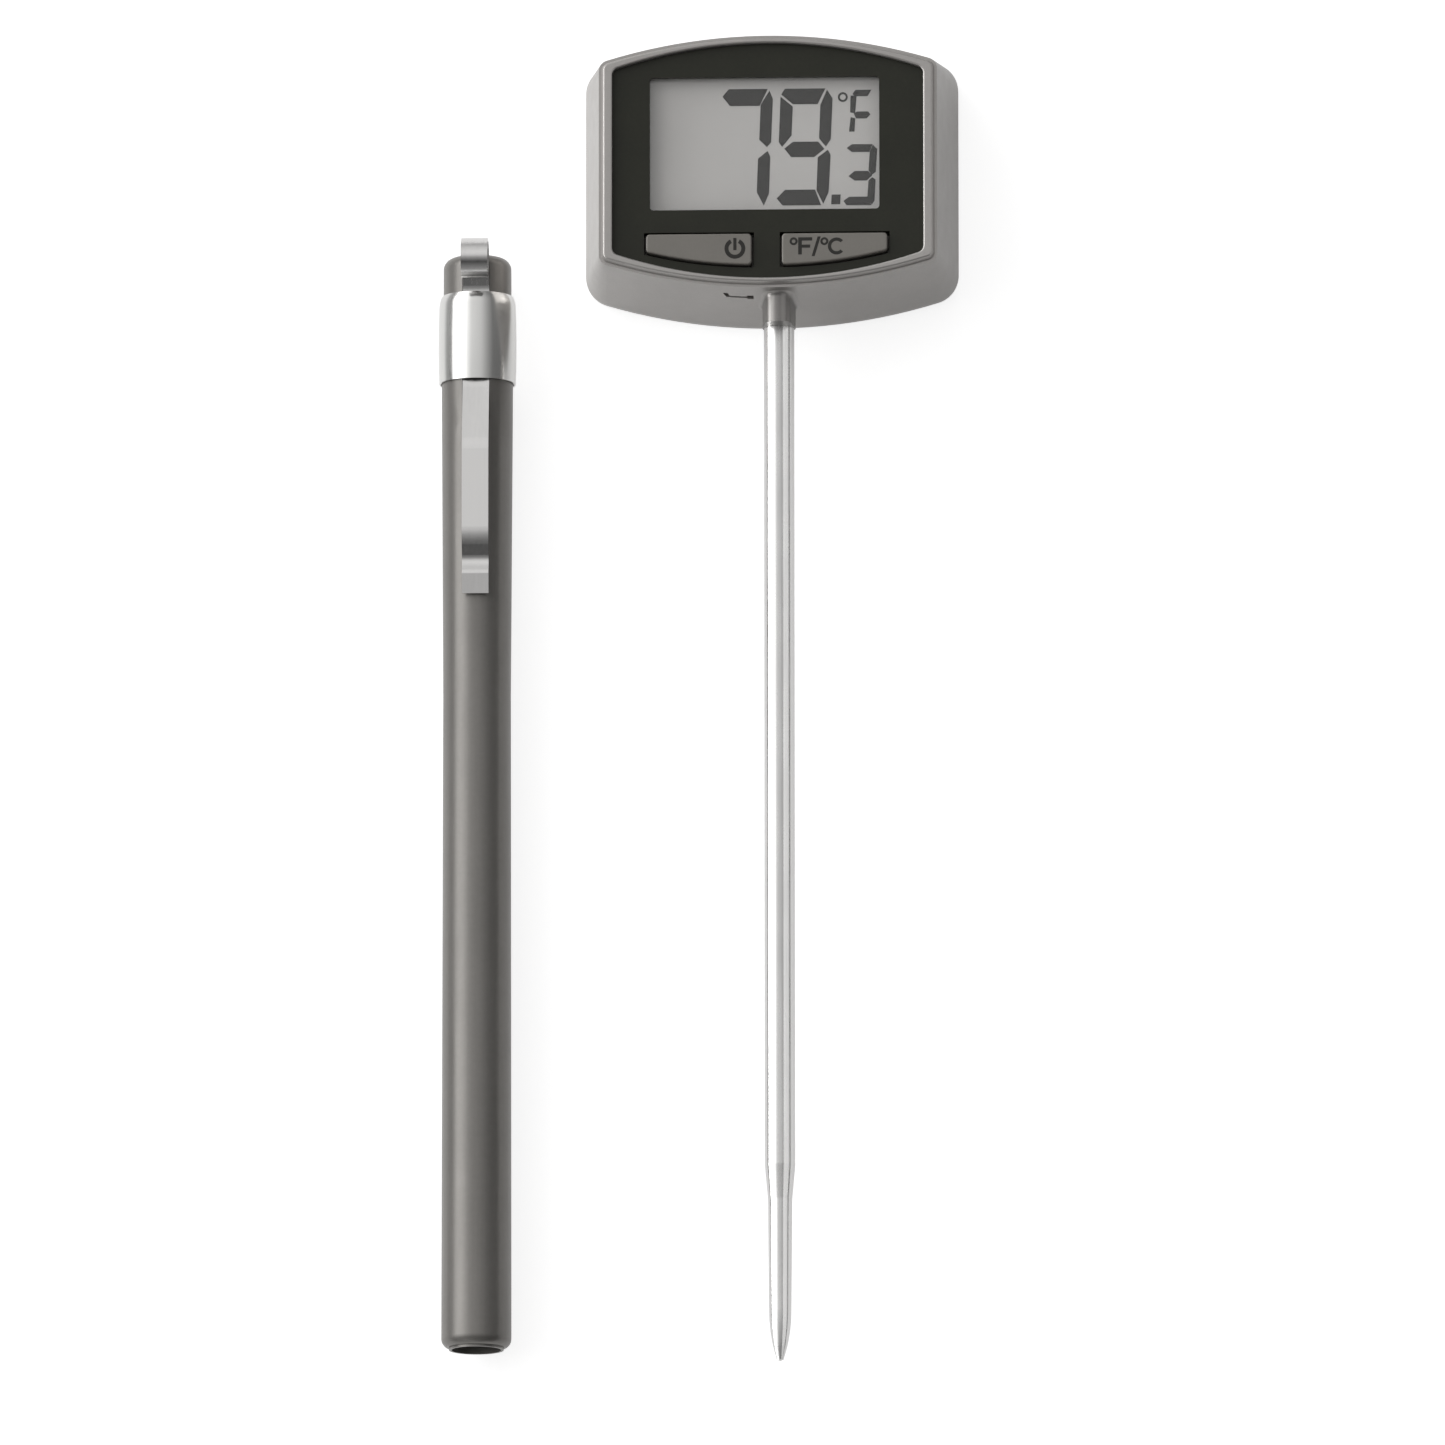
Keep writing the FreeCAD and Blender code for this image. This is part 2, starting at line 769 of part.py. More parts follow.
def slot_outline(sketch, x, y, length, width):
    """A slot with round ends, lying along the sketch's X."""
    half = (length - width) / 2
    top, low = y + width / 2, y - width / 2
    left, right = x - half, x + half
    start = sketch.GeometryCount
    up = FreeCAD.Vector(0, 0, 1)
    radius = width.value / 2
    sketch.addGeometry([
        Part.LineSegment(vector(left, low), vector(right, low)),
        Part.ArcOfCircle(Part.Circle(vector(right, y), up, radius), -math.pi / 2, math.pi / 2),
        Part.LineSegment(vector(right, top), vector(left, top)),
        Part.ArcOfCircle(Part.Circle(vector(left, y), up, radius),
                         math.pi / 2, 3 * math.pi / 2),
    ], False)
    for index in range(4):
        sketch.addConstraint(Sketcher.Constraint(
            "Tangent", start + index, 2, start + (index + 1) % 4, 1))
    pin(sketch, start + 1, 3, right, y)
    pin(sketch, start + 3, 3, left, y)
    dimension(sketch, "Radius", width / 2, start + 1)


def housing_holes(body):
    """Pilot holes up the posts, and the fine seam beside the boss."""
    sketch = new_sketch(body, "CasePilots", "XY_Plane", S.case_joint)
    four_corners(sketch, CASE_POST_REACH, CASE_POST_RISE,
                 S.case_screw_radius + S.screw_bite)
    pocket(body, "CasePilotHoles", sketch, CASE_PILOT_DEPTH, reverse=True)
    sketch = new_sketch(body, "BoardPilots", "XY_Plane", BOARD_FRONT)
    for across in (BOARD_POST_REACH, -BOARD_POST_REACH):
        circle(sketch, across, ZERO, S.board_screw_radius + S.screw_bite)
    pocket(body, "BoardPilotHoles", sketch, S.board_drop, reverse=True)
    tab_slot(body)


def tab_slot(body):
    """Fine seam beside the boss, with a pit at one end and a hooked pit at the other."""
    level = SHOULDER - S.tab_slot_drop
    wall = S.head_height / 2 - lean(level)
    half = S.tab_slot_length / 2
    near, far = half - S.tab_slot_shift, -half - S.tab_slot_shift
    sketch = new_sketch(body, "TabSeamOutline", "XZ_Plane", wall - S.tab_slot_depth)
    slot_outline(sketch, -S.tab_slot_shift, level, S.tab_slot_length, S.tab_slot_width)
    pocket(body, "TabSeam", sketch, S.tab_slot_depth * 2, reverse=True)
    sketch = new_sketch(body, "TabPitOutline", "XZ_Plane", wall - S.tab_pit_depth)
    across, rise = S.tab_pit_width / 2, S.tab_pit_height / 2
    rectangle(sketch, near - across, near + across, level - rise, level + rise)
    pocket(body, "TabPit", sketch, S.tab_pit_depth * 2, reverse=True)
    sketch = new_sketch(body, "TabHookOutline", "XZ_Plane", wall - S.tab_pit_depth)
    foot, width = level - S.tab_slot_width / 2, S.tab_hook_width
    profile(sketch, [
        (far, foot), (far + width, foot), (far + width - S.tab_hook_run, foot + S.tab_hook_rise),
        (far - S.tab_hook_run, foot + S.tab_hook_rise)])
    pocket(body, "TabHook", sketch, S.tab_pit_depth * 2, reverse=True)


# ---------------------------------------------------------------- display


def face_panel():
    """Black panel with the display opening, its window rebate and the button openings."""
    body = new_body("face_panel")
    pad(body, "Plate", outline_sketch(body, "PlateOutline", PANEL_OUTLINE, LEDGE_FRONT),
        S.panel_thickness)
    sketch = new_sketch(body, "ViewOutline", "XY_Plane", PANEL_FRONT)
    rectangle(sketch, VIEW_LEFT, VIEW_RIGHT, VIEW_LOW, VIEW_HIGH)
    pocket(body, "ViewOpening", sketch, S.panel_thickness)
    round_edges(body, "ViewCorners", S.view_corner, is_view_corner)
    sketch = new_sketch(body, "RebateOutline", "XY_Plane", WINDOW_FRONT)
    lap = S.window_lap + S.panel_gap
    rectangle(sketch, VIEW_LEFT - lap, VIEW_RIGHT + lap, VIEW_LOW - lap, VIEW_HIGH + lap)
    pocket(body, "WindowRebate", sketch, S.window_thickness)
    for side in (-1, 1):
        sketch = new_sketch(body, "ButtonOpening", "XY_Plane", PANEL_FRONT)
        button_outline(sketch, side, S.button_clearance, S.button_clearance)
        pocket(body, "ButtonHole", sketch, S.panel_thickness)
    return body


def is_view_corner(edge):
    """True for the four upright edges of the display opening."""
    across = edge.BoundBox.XMin
    at_side = min(abs(across - VIEW_LEFT.value), abs(across - VIEW_RIGHT.value))
    return is_upright(edge) and at_side < TOUCH


def display_window():
    """Clear plate in the rebate behind the display opening."""
    lap = S.window_lap * 2
    return box("display_window", (VIEW_LEFT - S.window_lap, VIEW_LOW - S.window_lap, LEDGE_FRONT),
               (VIEW_RIGHT - VIEW_LEFT + lap, VIEW_HIGH - VIEW_LOW + lap, S.window_thickness))


def lcd_glass():
    """The liquid crystal cell, with its contact foot towards the buttons."""
    return box("lcd_glass", (GLASS_LEFT, GLASS_LOW, GLASS_BACK),
               (GLASS_RIGHT - GLASS_LEFT, GLASS_HIGH - GLASS_LOW, S.glass_thickness))


def lcd_frame():
    """Frame that stands on the board and carries the cell on an inner step."""
    body = new_body("lcd_frame")
    gap, reach = S.panel_gap, FRAME_MARGIN
    sketch = new_sketch(body, "FrameOutline", "XY_Plane", BOARD_FRONT)
    rectangle(sketch, GLASS_LEFT - reach, GLASS_RIGHT + reach,
              GLASS_LOW - reach, GLASS_HIGH + reach)
    pad(body, "Frame", sketch, FRAME_FRONT - BOARD_FRONT)
    sketch = new_sketch(body, "GlassSeat", "XY_Plane", FRAME_FRONT)
    rectangle(sketch, GLASS_LEFT - gap, GLASS_RIGHT + gap, GLASS_LOW - gap, GLASS_HIGH + gap)
    pocket(body, "GlassPocket", sketch, FRAME_FRONT - GLASS_BACK)
    sketch = new_sketch(body, "InnerOutline", "XY_Plane", FRAME_FRONT)
    step = S.frame_step
    rectangle(sketch, GLASS_LEFT + step, GLASS_RIGHT - step, GLASS_LOW, GLASS_HIGH - step)
    pocket(body, "InnerOpening", sketch, FRAME_FRONT - BOARD_FRONT)
    return body


def zebra_strip():
    """Rubber contact strip between the board and the foot of the cell."""
    return box("zebra_strip",
               (GLASS_LEFT + S.zebra_margin, GLASS_LOW + S.panel_gap, BOARD_FRONT),
               (GLASS_RIGHT - GLASS_LEFT - S.zebra_margin * 2, S.zebra_width,
                GLASS_BACK - BOARD_FRONT))


# ---------------------------------------------------------------- circuit board


def circuit_board():
    """Board with an ear at each side and a notch that clears the stem's collar."""
    body = new_body("circuit_board")
    half, ear = BOARD_HALF_WIDTH, S.ear_height / 2
    ear_reach = BOARD_POST_REACH + S.ear_margin
    notch = S.board_notch / 2
    shift = S.stem_shift
    top = CAVITY_HALF_HEIGHT - S.board_margin_top
    foot = S.board_margin_foot - CAVITY_HALF_HEIGHT
    crook = S.board_notch_gap - STEM_INNER_END
    sketch = new_sketch(body, "BoardOutline", "XY_Plane", BOARD_BACK)
    nip = S.board_corner
    profile(sketch, [
        (nip - half, foot), (shift - notch, foot), (shift - notch, crook),
        (shift + notch, crook), (shift + notch, foot), (half - nip, foot), (half, foot + nip),
        (half, -ear), (ear_reach, -ear), (ear_reach, ear), (half, ear),
        (half, top), (-half, top), (-half, ear), (-ear_reach, ear),
        (-ear_reach, -ear), (-half, -ear), (-half, foot + nip)])
    pad(body, "Board", sketch, S.board_thickness)
    sketch = new_sketch(body, "ScrewHoles", "XY_Plane", BOARD_FRONT)
    for across in (BOARD_POST_REACH, -BOARD_POST_REACH):
        circle(sketch, across, ZERO, S.board_screw_radius + S.screw_clearance)
    pocket(body, "BoardHoles", sketch, S.board_thickness)
    return body


def screw(name, at, head_radius, head_height, radius, length):
    """A slotted screw standing on its cheese head, with its shank pointing up."""
    x, y, foot = at
    head = cylinder(name + "Head", (x, y, foot), head_radius, head_height)
    shank = cylinder(name + "Shank", (x, y, foot + head_height), radius, length)
    whole = fuse(name + "Blank", head, shank)
    half = S.screw_slot_width / 2
    across = (x - head_radius, y - half, foot)
    slot = box(name + "Slot", across,
               (head_radius * 2, S.screw_slot_width, S.screw_slot_depth))
    return cut(name, whole, slot)


def board_screws():
    """Two screws through the board's ears into the housing's posts."""
    made = []
    head = S.board_screw_radius
    for index, across in enumerate((BOARD_POST_REACH, -BOARD_POST_REACH)):
        made.append(screw("BoardScrew%d" % index, (across, ZERO, BOARD_BACK - head),
                          S.board_screw_head, head, S.board_screw_radius,
                          S.board_thickness + S.board_drop - S.screw_clearance))
    return group("board_screws", *made)


def case_screws():
    """Four screws through the back cover into the housing's posts."""
    made = []
    corners = [(x, y) for x in (CASE_POST_REACH, -CASE_POST_REACH)
               for y in (CASE_POST_RISE, -CASE_POST_RISE)]
    for index, (across, along) in enumerate(corners):
        made.append(screw("CaseScrew%d" % index, (across, along, S.case_screw_sunk),
                          S.case_screw_head, S.case_screw_head_height,
                          S.case_screw_radius, case_shank()))
    return group("case_screws", *made)


def case_shank():
    """Shank length that stops just short of the bottom of the pilot hole."""
    return (S.case_joint + CASE_PILOT_DEPTH - S.screw_clearance
            - S.case_screw_sunk - S.case_screw_head_height)


def dome_profile(sketch, radius, height):
    """Half of a shallow dome, standing on the sketch's X with its crown on the axis."""
    ball = (radius * radius + height * height) / (height * 2)
    profile(sketch, [(ZERO, ZERO), (radius, ZERO), (ZERO, height)], {1: (ball, True)})


def controller_chip():
    """The potted controller: a dome of epoxy on the back of the board."""
    body = new_body("controller_chip")
    sketch = new_sketch(body, "DomeOutline", "XZ_Plane")
    dome_profile(sketch, S.chip_radius, S.chip_height)
    revolve(body, "Dome", sketch)
    body.Placement = FreeCAD.Placement(
        FreeCAD.Vector(), FreeCAD.Rotation(FreeCAD.Vector(1, 0, 0), 180))
    place(body, S.chip_margin - BOARD_HALF_WIDTH, ZERO, BOARD_BACK)
    return body


def crystal():
    """The watch crystal's can, lying on the back of the board."""
    across = BOARD_HALF_WIDTH - S.crystal_margin
    axis_end = (across, S.crystal_length / 2, BOARD_BACK - S.crystal_radius)
    can = cylinder("crystal", axis_end, S.crystal_radius, S.crystal_length)
    can.Placement.Rotation = FreeCAD.Rotation(FreeCAD.Vector(1, 0, 0), 90)
    return can


# ---------------------------------------------------------------- buttons and switches


BUTTON_LENGTH = PANEL_OPENING[0] - S.button_margin_side - S.button_gap / 2
SWITCH_ROW = PANEL_OPENING[1] - S.switch_row_margin


def button_outline(sketch, side, margin, top_margin):
    """A button seen from the front: level top, foot bowed like the panel's lower edge."""
    near = S.button_gap / 2 - margin
    far = S.button_gap / 2 + BUTTON_LENGTH + margin
    high = VIEW_LOW - S.button_margin_top + top_margin
    inner = S.button_margin_foot - PANEL_OPENING[1] - margin
    outer = inner + S.button_fall
    shift = S.button_shift
    if side < 0:
        profile(sketch, [(shift - near, high), (shift - far, high), (shift - far, outer),
                         (shift - near, inner)], {2: (S.button_arc, True)})
    else:
        profile(sketch, [(shift + near, high), (shift + near, inner), (shift + far, outer),
                         (shift + far, high)], {1: (S.button_arc, True)})


def button_middle(side):
    """Where the button presses its switch, across the head."""
    middle = S.button_gap / 2 + BUTTON_LENGTH / 2
    return S.button_shift - middle if side < 0 else S.button_shift + middle


def push_button(name, side):
    """Cap with a retaining flange behind the panel and a post down to the switch."""
    body = new_body(name)
    foot = LEDGE_FRONT - S.flange_gap - S.flange_thickness
    crown = PANEL_FRONT + S.button_proud
    sketch = new_sketch(body, "CapOutline", "XY_Plane", foot)
    button_outline(sketch, side, ZERO, ZERO)
    pad(body, "Cap", sketch, crown - foot)
    round_edges(body, "CapCorners", S.button_corner, is_upright)
    round_edges(body, "CapRound", S.button_round,
                lambda edge: lies_at(edge, 2, crown.value))
    sketch = new_sketch(body, "FlangeOutline", "XY_Plane", foot)
    button_outline(sketch, side, S.flange_lap, ZERO)
    pad(body, "Flange", sketch, S.flange_thickness)
    sketch = new_sketch(body, "PostCircle", "XY_Plane", foot)
    circle(sketch, button_middle(side), -SWITCH_ROW, S.plunger_radius)
    pad(body, "Post", sketch, foot - plunger_top(), reverse=True)
    return body


def plunger_top():
    """Height of the switch plunger's crown at rest."""
    return BOARD_FRONT + S.switch_height + S.plunger_proud


def switch_case(name, side):
    """Square switch case on the board, open in front for its plunger."""
    half = S.switch_size / 2
    middle = button_middle(side)
    case = box(name + "Block", (middle - half, -SWITCH_ROW - half, BOARD_FRONT),
               (S.switch_size, S.switch_size, S.switch_height))
    depth = S.plunger_length - S.plunger_proud + S.button_travel * 2
    well = cylinder(name + "Well", (middle, -SWITCH_ROW, BOARD_FRONT + S.switch_height - depth),
                    S.plunger_radius + S.plunger_clearance, depth)
    return cut(name, case, well)


def switch_plunger(name, side):
    """Round plunger that the button's post rests on."""
    return cylinder(name, (button_middle(side), -SWITCH_ROW, plunger_top() - S.plunger_length),
                    S.plunger_radius, S.plunger_length)


# ---------------------------------------------------------------- back cover and cell


HUB_RADIUS = S.cell_radius + S.door_hub_margin
LUG_REACH = HUB_RADIUS + S.lug_length
DOOR_RADIUS = LUG_REACH + S.door_flange
HUB_TOP = S.back_plate + S.lug_clearance + S.lug_thickness
LUG_ROOM_TOP = HUB_TOP + S.lug_clearance
CELL_BACK = HUB_TOP + S.cell_gap
CELL_FRONT = BOARD_BACK - S.contact_room
WELL_TOP = CELL_FRONT - S.cell_gap


def back_cover():
    """Shallow cover with a lip, screw posts, the cell's well and the door's opening."""
    body = new_body("back_cover")
    pad(body, "Plate", outline_sketch(body, "PlateOutline", BACK_OUTLINE, ZERO), S.back_depth)
    round_edges(body, "BackRound", S.back_round, lambda edge: lies_at(edge, 2, 0))
    inner = inset(BACK_OUTLINE, S.shell_wall, S.cavity_corner)
    pocket(body, "Hollow", outline_sketch(body, "HollowOutline", inner, S.back_depth),
           S.back_depth - S.back_plate)
    cover_lip(body)
    sketch = new_sketch(body, "PostCircles", "XY_Plane", S.back_plate)
    four_corners(sketch, CASE_POST_REACH, CASE_POST_RISE, S.case_post_radius)
    pad(body, "ScrewPosts", sketch, S.case_joint - S.back_plate)
    cell_well(body)
    stem_saddle(body)
    door_opening(body)
    screw_holes(body)
    return body


def cover_lip(body):
    """Locating lip that stands inside the housing's wall."""
    top = S.back_depth + S.lip_height
    outer = inset(BACK_OUTLINE, S.shell_wall + lean(top) + S.lip_clearance, S.cavity_corner)
    sketch = outline_sketch(body, "LipOuter", outer, S.back_plate)
    bowed_outline(sketch, inset(outer, S.lip_thickness, S.cavity_corner))
    pad(body, "Lip", sketch, top - S.back_plate)


def cell_well(body):
    """Stepped well: wide round the door's lugs, narrow round the coin cell."""
    lug_room = LUG_REACH + S.door_clearance
    grip = S.cell_radius + S.cell_clearance
    base_top = LUG_ROOM_TOP + S.well_wall
    sketch = new_sketch(body, "WellWide", "XY_Plane", S.back_plate)
    circle(sketch, ZERO, ZERO, lug_room + S.well_wall)
    pad(body, "WellBase", sketch, base_top - S.back_plate)
    sketch = new_sketch(body, "WellNarrow", "XY_Plane", S.back_plate)
    circle(sketch, ZERO, ZERO, grip + S.well_wall)
    pad(body, "WellGrip", sketch, WELL_TOP - S.back_plate)
    sketch = new_sketch(body, "GripBore", "XY_Plane", WELL_TOP)
    circle(sketch, ZERO, ZERO, grip)
    pocket(body, "CellBore", sketch, WELL_TOP - S.back_plate)
    sketch = new_sketch(body, "LugRoomCircle", "XY_Plane", LUG_ROOM_TOP)
    circle(sketch, ZERO, ZERO, lug_room)
    pocket(body, "LugRoom", sketch, LUG_ROOM_TOP - S.back_plate)
    sketch = new_sketch(body, "ContactSlotOutline", "XY_Plane", WELL_TOP)
    half = S.contact_width / 2 + S.cell_clearance
    rectangle(sketch, S.cell_radius / 2, grip + S.well_wall * 2, -half, half)
    pocket(body, "ContactSlot", sketch, WELL_TOP - base_top)


def stem_saddle(body):
    """Post that bears on the stem's collar from behind."""
    half = S.saddle_width / 2
    collar_end = SEAT_DEPTH - S.collar_length
    sketch = new_sketch(body, "SaddleOutline", "XY_Plane", S.back_plate)
    rectangle(sketch, S.stem_shift - half, S.stem_shift + half,
              S.lip_clearance - SEAT_DEPTH, -collar_end)
    pad(body, "Saddle", sketch,
        STEM_LEVEL - COLLAR_RADIUS + S.saddle_wrap - S.back_plate)
    sketch = new_sketch(body, "SaddleCircle", "XZ_Plane", SEAT_DEPTH)
    circle(sketch, S.stem_shift, STEM_LEVEL, COLLAR_RADIUS + S.stem_fit)
    pocket(body, "SaddleBore", sketch, SEAT_DEPTH - collar_end)


def door_opening(body):
    """Recess for the door's disc, hole for its hub and two ways in for its lugs."""
    sketch = new_sketch(body, "DiscRecessCircle", "XY_Plane")
    circle(sketch, ZERO, ZERO, DOOR_RADIUS + S.door_clearance)
    pocket(body, "DiscRecess", sketch,
           S.door_sunk + S.door_thickness + S.door_seat_gap, reverse=True)
    sketch = new_sketch(body, "HubHoleCircle", "XY_Plane")
    circle(sketch, ZERO, ZERO, HUB_RADIUS + S.door_hub_clearance)
    pocket(body, "HubHole", sketch, S.back_plate, reverse=True)
    sketch = new_sketch(body, "LugWayOutline", "XY_Plane")
    half = S.lug_half_width + S.door_hub_clearance
    reach = LUG_REACH + S.door_clearance
    rectangle(sketch, -half, half, -reach, reach)
    pocket(body, "LugWay", sketch, S.back_plate, reverse=True)


def screw_holes(body):
    """Sunk seats and clearance holes for the case screws."""
    depth = S.case_screw_sunk + S.case_screw_head_height
    sketch = new_sketch(body, "ScrewSeats", "XY_Plane")
    four_corners(sketch, CASE_POST_REACH, CASE_POST_RISE,
                 S.case_screw_head + S.screw_clearance)
    pocket(body, "SunkSeats", sketch, depth, reverse=True)
    sketch = new_sketch(body, "ScrewWays", "XY_Plane")
    four_corners(sketch, CASE_POST_REACH, CASE_POST_RISE,
                 S.case_screw_radius + S.screw_clearance)
    pocket(body, "ClearanceHoles", sketch, S.case_joint, reverse=True)


def coin_cell():
    """Button cell: the can towards the door, the smaller cap towards the board."""
    foot = (ZERO, ZERO, CELL_BACK)
    height = CELL_FRONT - CELL_BACK
    can = cylinder("CellCan", foot, S.cell_radius, height - S.cell_cap_height)
    cap = cylinder("CellCap", foot, S.cell_cap_radius, height)
    return fuse("coin_cell", can, cap)


def battery_contact_negative():
    """Bent leaf between the board and the cell's cap."""
    body = new_body("battery_contact_negative")
    sheet_metal = S.contact_thickness
    reach, foot = S.leaf_reach, S.contact_foot / 2
    top = BOARD_BACK
    sketch = new_sketch(body, "LeafProfile", "XZ_Plane", -S.contact_width / 2)
    profile(sketch, [
        (-reach, CELL_FRONT), (foot, CELL_FRONT), (reach, top - sheet_metal),
        (reach + foot, top - sheet_metal), (reach + foot, top), (reach - sheet_metal, top),
        (foot - sheet_metal, CELL_FRONT + sheet_metal), (-reach, CELL_FRONT + sheet_metal)])
    pad(body, "Leaf", sketch, S.contact_width)
    return body


def battery_contact_positive():
    """Leaf that hangs from the board and bears on the side of the cell's can."""
    body = new_body("battery_contact_positive")
    sheet_metal = S.contact_thickness
    near = S.cell_radius + S.contact_fit
    low = CELL_BACK + S.contact_low
    sketch = new_sketch(body, "LeafProfile", "XZ_Plane", -S.contact_width / 2)
    profile(sketch, [
        (near, low), (near + sheet_metal, low), (near + sheet_metal, BOARD_BACK - sheet_metal),
        (near + S.contact_foot, BOARD_BACK - sheet_metal), (near + S.contact_foot, BOARD_BACK),
        (near, BOARD_BACK)])
    pad(body, "Leaf", sketch, S.contact_width)
    return body


SEAL_LEVEL = (S.door_sunk + S.door_thickness + S.back_plate) / 2


def battery_door():
    """Coin-slotted door: disc, hub with a seal groove, and two lugs that grip the plate."""
    body = new_body("battery_door")
    disc_top = S.door_sunk + S.door_thickness
    low, high = SEAL_LEVEL - S.seal_section, SEAL_LEVEL + S.seal_section
    groove = HUB_RADIUS - S.seal_section
    sketch = new_sketch(body, "DoorProfile", "XZ_Plane")
    profile(sketch, [
        (ZERO, S.door_sunk), (DOOR_RADIUS, S.door_sunk), (DOOR_RADIUS, disc_top),
        (HUB_RADIUS, disc_top), (HUB_RADIUS, low), (groove, low),
        (groove, high), (HUB_RADIUS, high), (HUB_RADIUS, HUB_TOP), (ZERO, HUB_TOP)])
    revolve(body, "DiscAndHub", sketch)
    sketch = new_sketch(body, "LugOutline", "XY_Plane", S.back_plate + S.lug_clearance)
    half = S.lug_half_width
    reach = root(LUG_REACH * LUG_REACH - half * half)
    profile(sketch, [(reach, -half), (reach, half), (-reach, half), (-reach, -half)],
            {0: (LUG_REACH, True), 2: (LUG_REACH, True)})
    pad(body, "Lugs", sketch, S.lug_thickness)
    sketch = new_sketch(body, "CoinSlotOutline", "XY_Plane")
    slot_outline(sketch, ZERO, ZERO, (HUB_RADIUS - S.coin_slot_margin) * 2, S.coin_slot_width)
    pocket(body, "CoinSlot", sketch, S.door_sunk + S.coin_slot_depth, reverse=True)
    return body


def door_seal():
    """Rubber ring in the hub's groove."""
    return primitive("Torus", "door_seal", (ZERO, ZERO, SEAL_LEVEL),
                     Radius1=HUB_RADIUS, Radius2=S.seal_section - S.seal_fit)


# ---------------------------------------------------------------- stem and sensor


STRAIGHT_END = BOSS_END + S.stem_straight
NECK_START = STRAIGHT_END + S.stem_shoulder
NOSE_START = NECK_START + S.stem_slim
STEM_POINT = NOSE_START + S.stem_nose


def probe_stem():
    """Drawn steel tube: a narrower root up to the boss, then straight, stepped and pointed."""
    body = new_body("probe_stem")
    wall = S.stem_wall
    sketch = new_sketch(body, "StemProfile", "XY_Plane")
    run = S.stem_nose - S.stem_tip_radius / 2
    swing = S.stem_nose_radius - S.stem_tip_radius
    ogive = (run * run + swing * swing) / (swing * 2)
    root_wall = STEM_ROOT_RADIUS - wall
    profile(sketch, [
        (root_wall, -STEM_INNER_END), (STEM_ROOT_RADIUS, -STEM_INNER_END),
        (STEM_ROOT_RADIUS, -BOSS_END), (S.stem_radius, -BOSS_END), (S.stem_radius, -STRAIGHT_END),
        (S.stem_neck_radius, -NECK_START),
        (S.stem_nose_radius, -NOSE_START), (S.stem_tip_radius, -(NOSE_START + run)),
        (ZERO, -STEM_POINT), (ZERO, -(NOSE_START + S.stem_nose / 2)),
        (S.stem_nose_radius - wall, -NOSE_START), (S.stem_neck_radius - wall, -NECK_START),
        (S.stem_radius - wall, -STRAIGHT_END), (S.stem_radius - wall, -(BOSS_END + wall)),
        (root_wall, -BOSS_END)],
        {6: (ogive, False)})
    revolve(body, "Tube", sketch)
    place(body, S.stem_shift, ZERO, STEM_LEVEL)
    return body


def stem_collar():
    """Ring pressed on the stem's inner end; it stops the stem against the gland."""
    body = new_body("stem_collar")
    sketch = new_sketch(body, "CollarProfile", "XY_Plane")
    rectangle(sketch, STEM_ROOT_RADIUS + S.collar_fit, COLLAR_RADIUS,
              -SEAT_DEPTH, S.collar_length - SEAT_DEPTH)
    revolve(body, "Ring", sketch)
    place(body, S.stem_shift, ZERO, STEM_LEVEL)
    return body


def stem_seal():
    """Rubber ring in the gland, round the stem."""
    body = new_body("stem_seal")
    section = (GLAND_RADIUS - STEM_ROOT_RADIUS) / 2 - S.stem_fit
    middle = (GLAND_RADIUS + STEM_ROOT_RADIUS) / 2
    sketch = new_sketch(body, "SealSection", "XY_Plane")
    circle(sketch, middle, -(SEAT_DEPTH + S.gland_depth / 2), section)
    revolve(body, "Ring", sketch)
    place(body, S.stem_shift, ZERO, STEM_LEVEL)
    return body


BEAD_END = STEM_POINT - S.bead_back


def thermistor():
    """Sensor bead: a rounded capsule on the stem's axis, close to the point."""
    body = new_body("thermistor")
    start, end = BEAD_END - S.bead_length, BEAD_END
    radius = S.bead_radius
    sketch = new_sketch(body, "BeadProfile", "XY_Plane")
    profile(sketch, [
        (ZERO, -end), (radius, radius - end), (radius, -start - radius), (ZERO, -start)],
        {0: (radius, True), 2: (radius, True)})
    revolve(body, "Bead", sketch)
    place(body, S.stem_shift, ZERO, STEM_LEVEL)
    return body


def lead_wire(name, across):
    """One straight insulated lead from the bead to its pad on the board."""
    start = BEAD_END - S.bead_length
    tail = STEM_INNER_END - S.lead_tail
    wire = cylinder(name, (S.stem_shift + across, -tail, BOARD_FRONT + S.lead_radius),
                    S.lead_radius, start - tail)
    wire.Placement.Rotation = FreeCAD.Rotation(FreeCAD.Vector(1, 0, 0), 90)
    return wire


def sensor_leads():
    """The pair of leads."""
    return group("sensor_leads", lead_wire("LeadLeft", -S.lead_spread),
                 lead_wire("LeadRight", S.lead_spread))


# ---------------------------------------------------------------- sheath and clip


SHEATH_REACH = S.head_width / 2 + S.sheath_gap + S.sheath_radius
BAND_RADIUS = S.sheath_radius + S.band_proud
BAND_SIDE = BAND_RADIUS - S.band_bulge
CROWN_RADIUS = S.sheath_radius - S.crown_step
BAND_EDGE = CROWN_RADIUS + S.band_fit
BAND_SEAT = BAND_SIDE - S.band_sheet - S.band_fit
AXIS_LEVEL = BAND_RADIUS
HALF_CLIP = S.clip_width / 2
CLIP_BED = root(BAND_EDGE * BAND_EDGE - HALF_CLIP * HALF_CLIP) - S.clip_sheet - S.clip_slip
TOE_LEVEL = S.sheath_radius + S.toe_gap


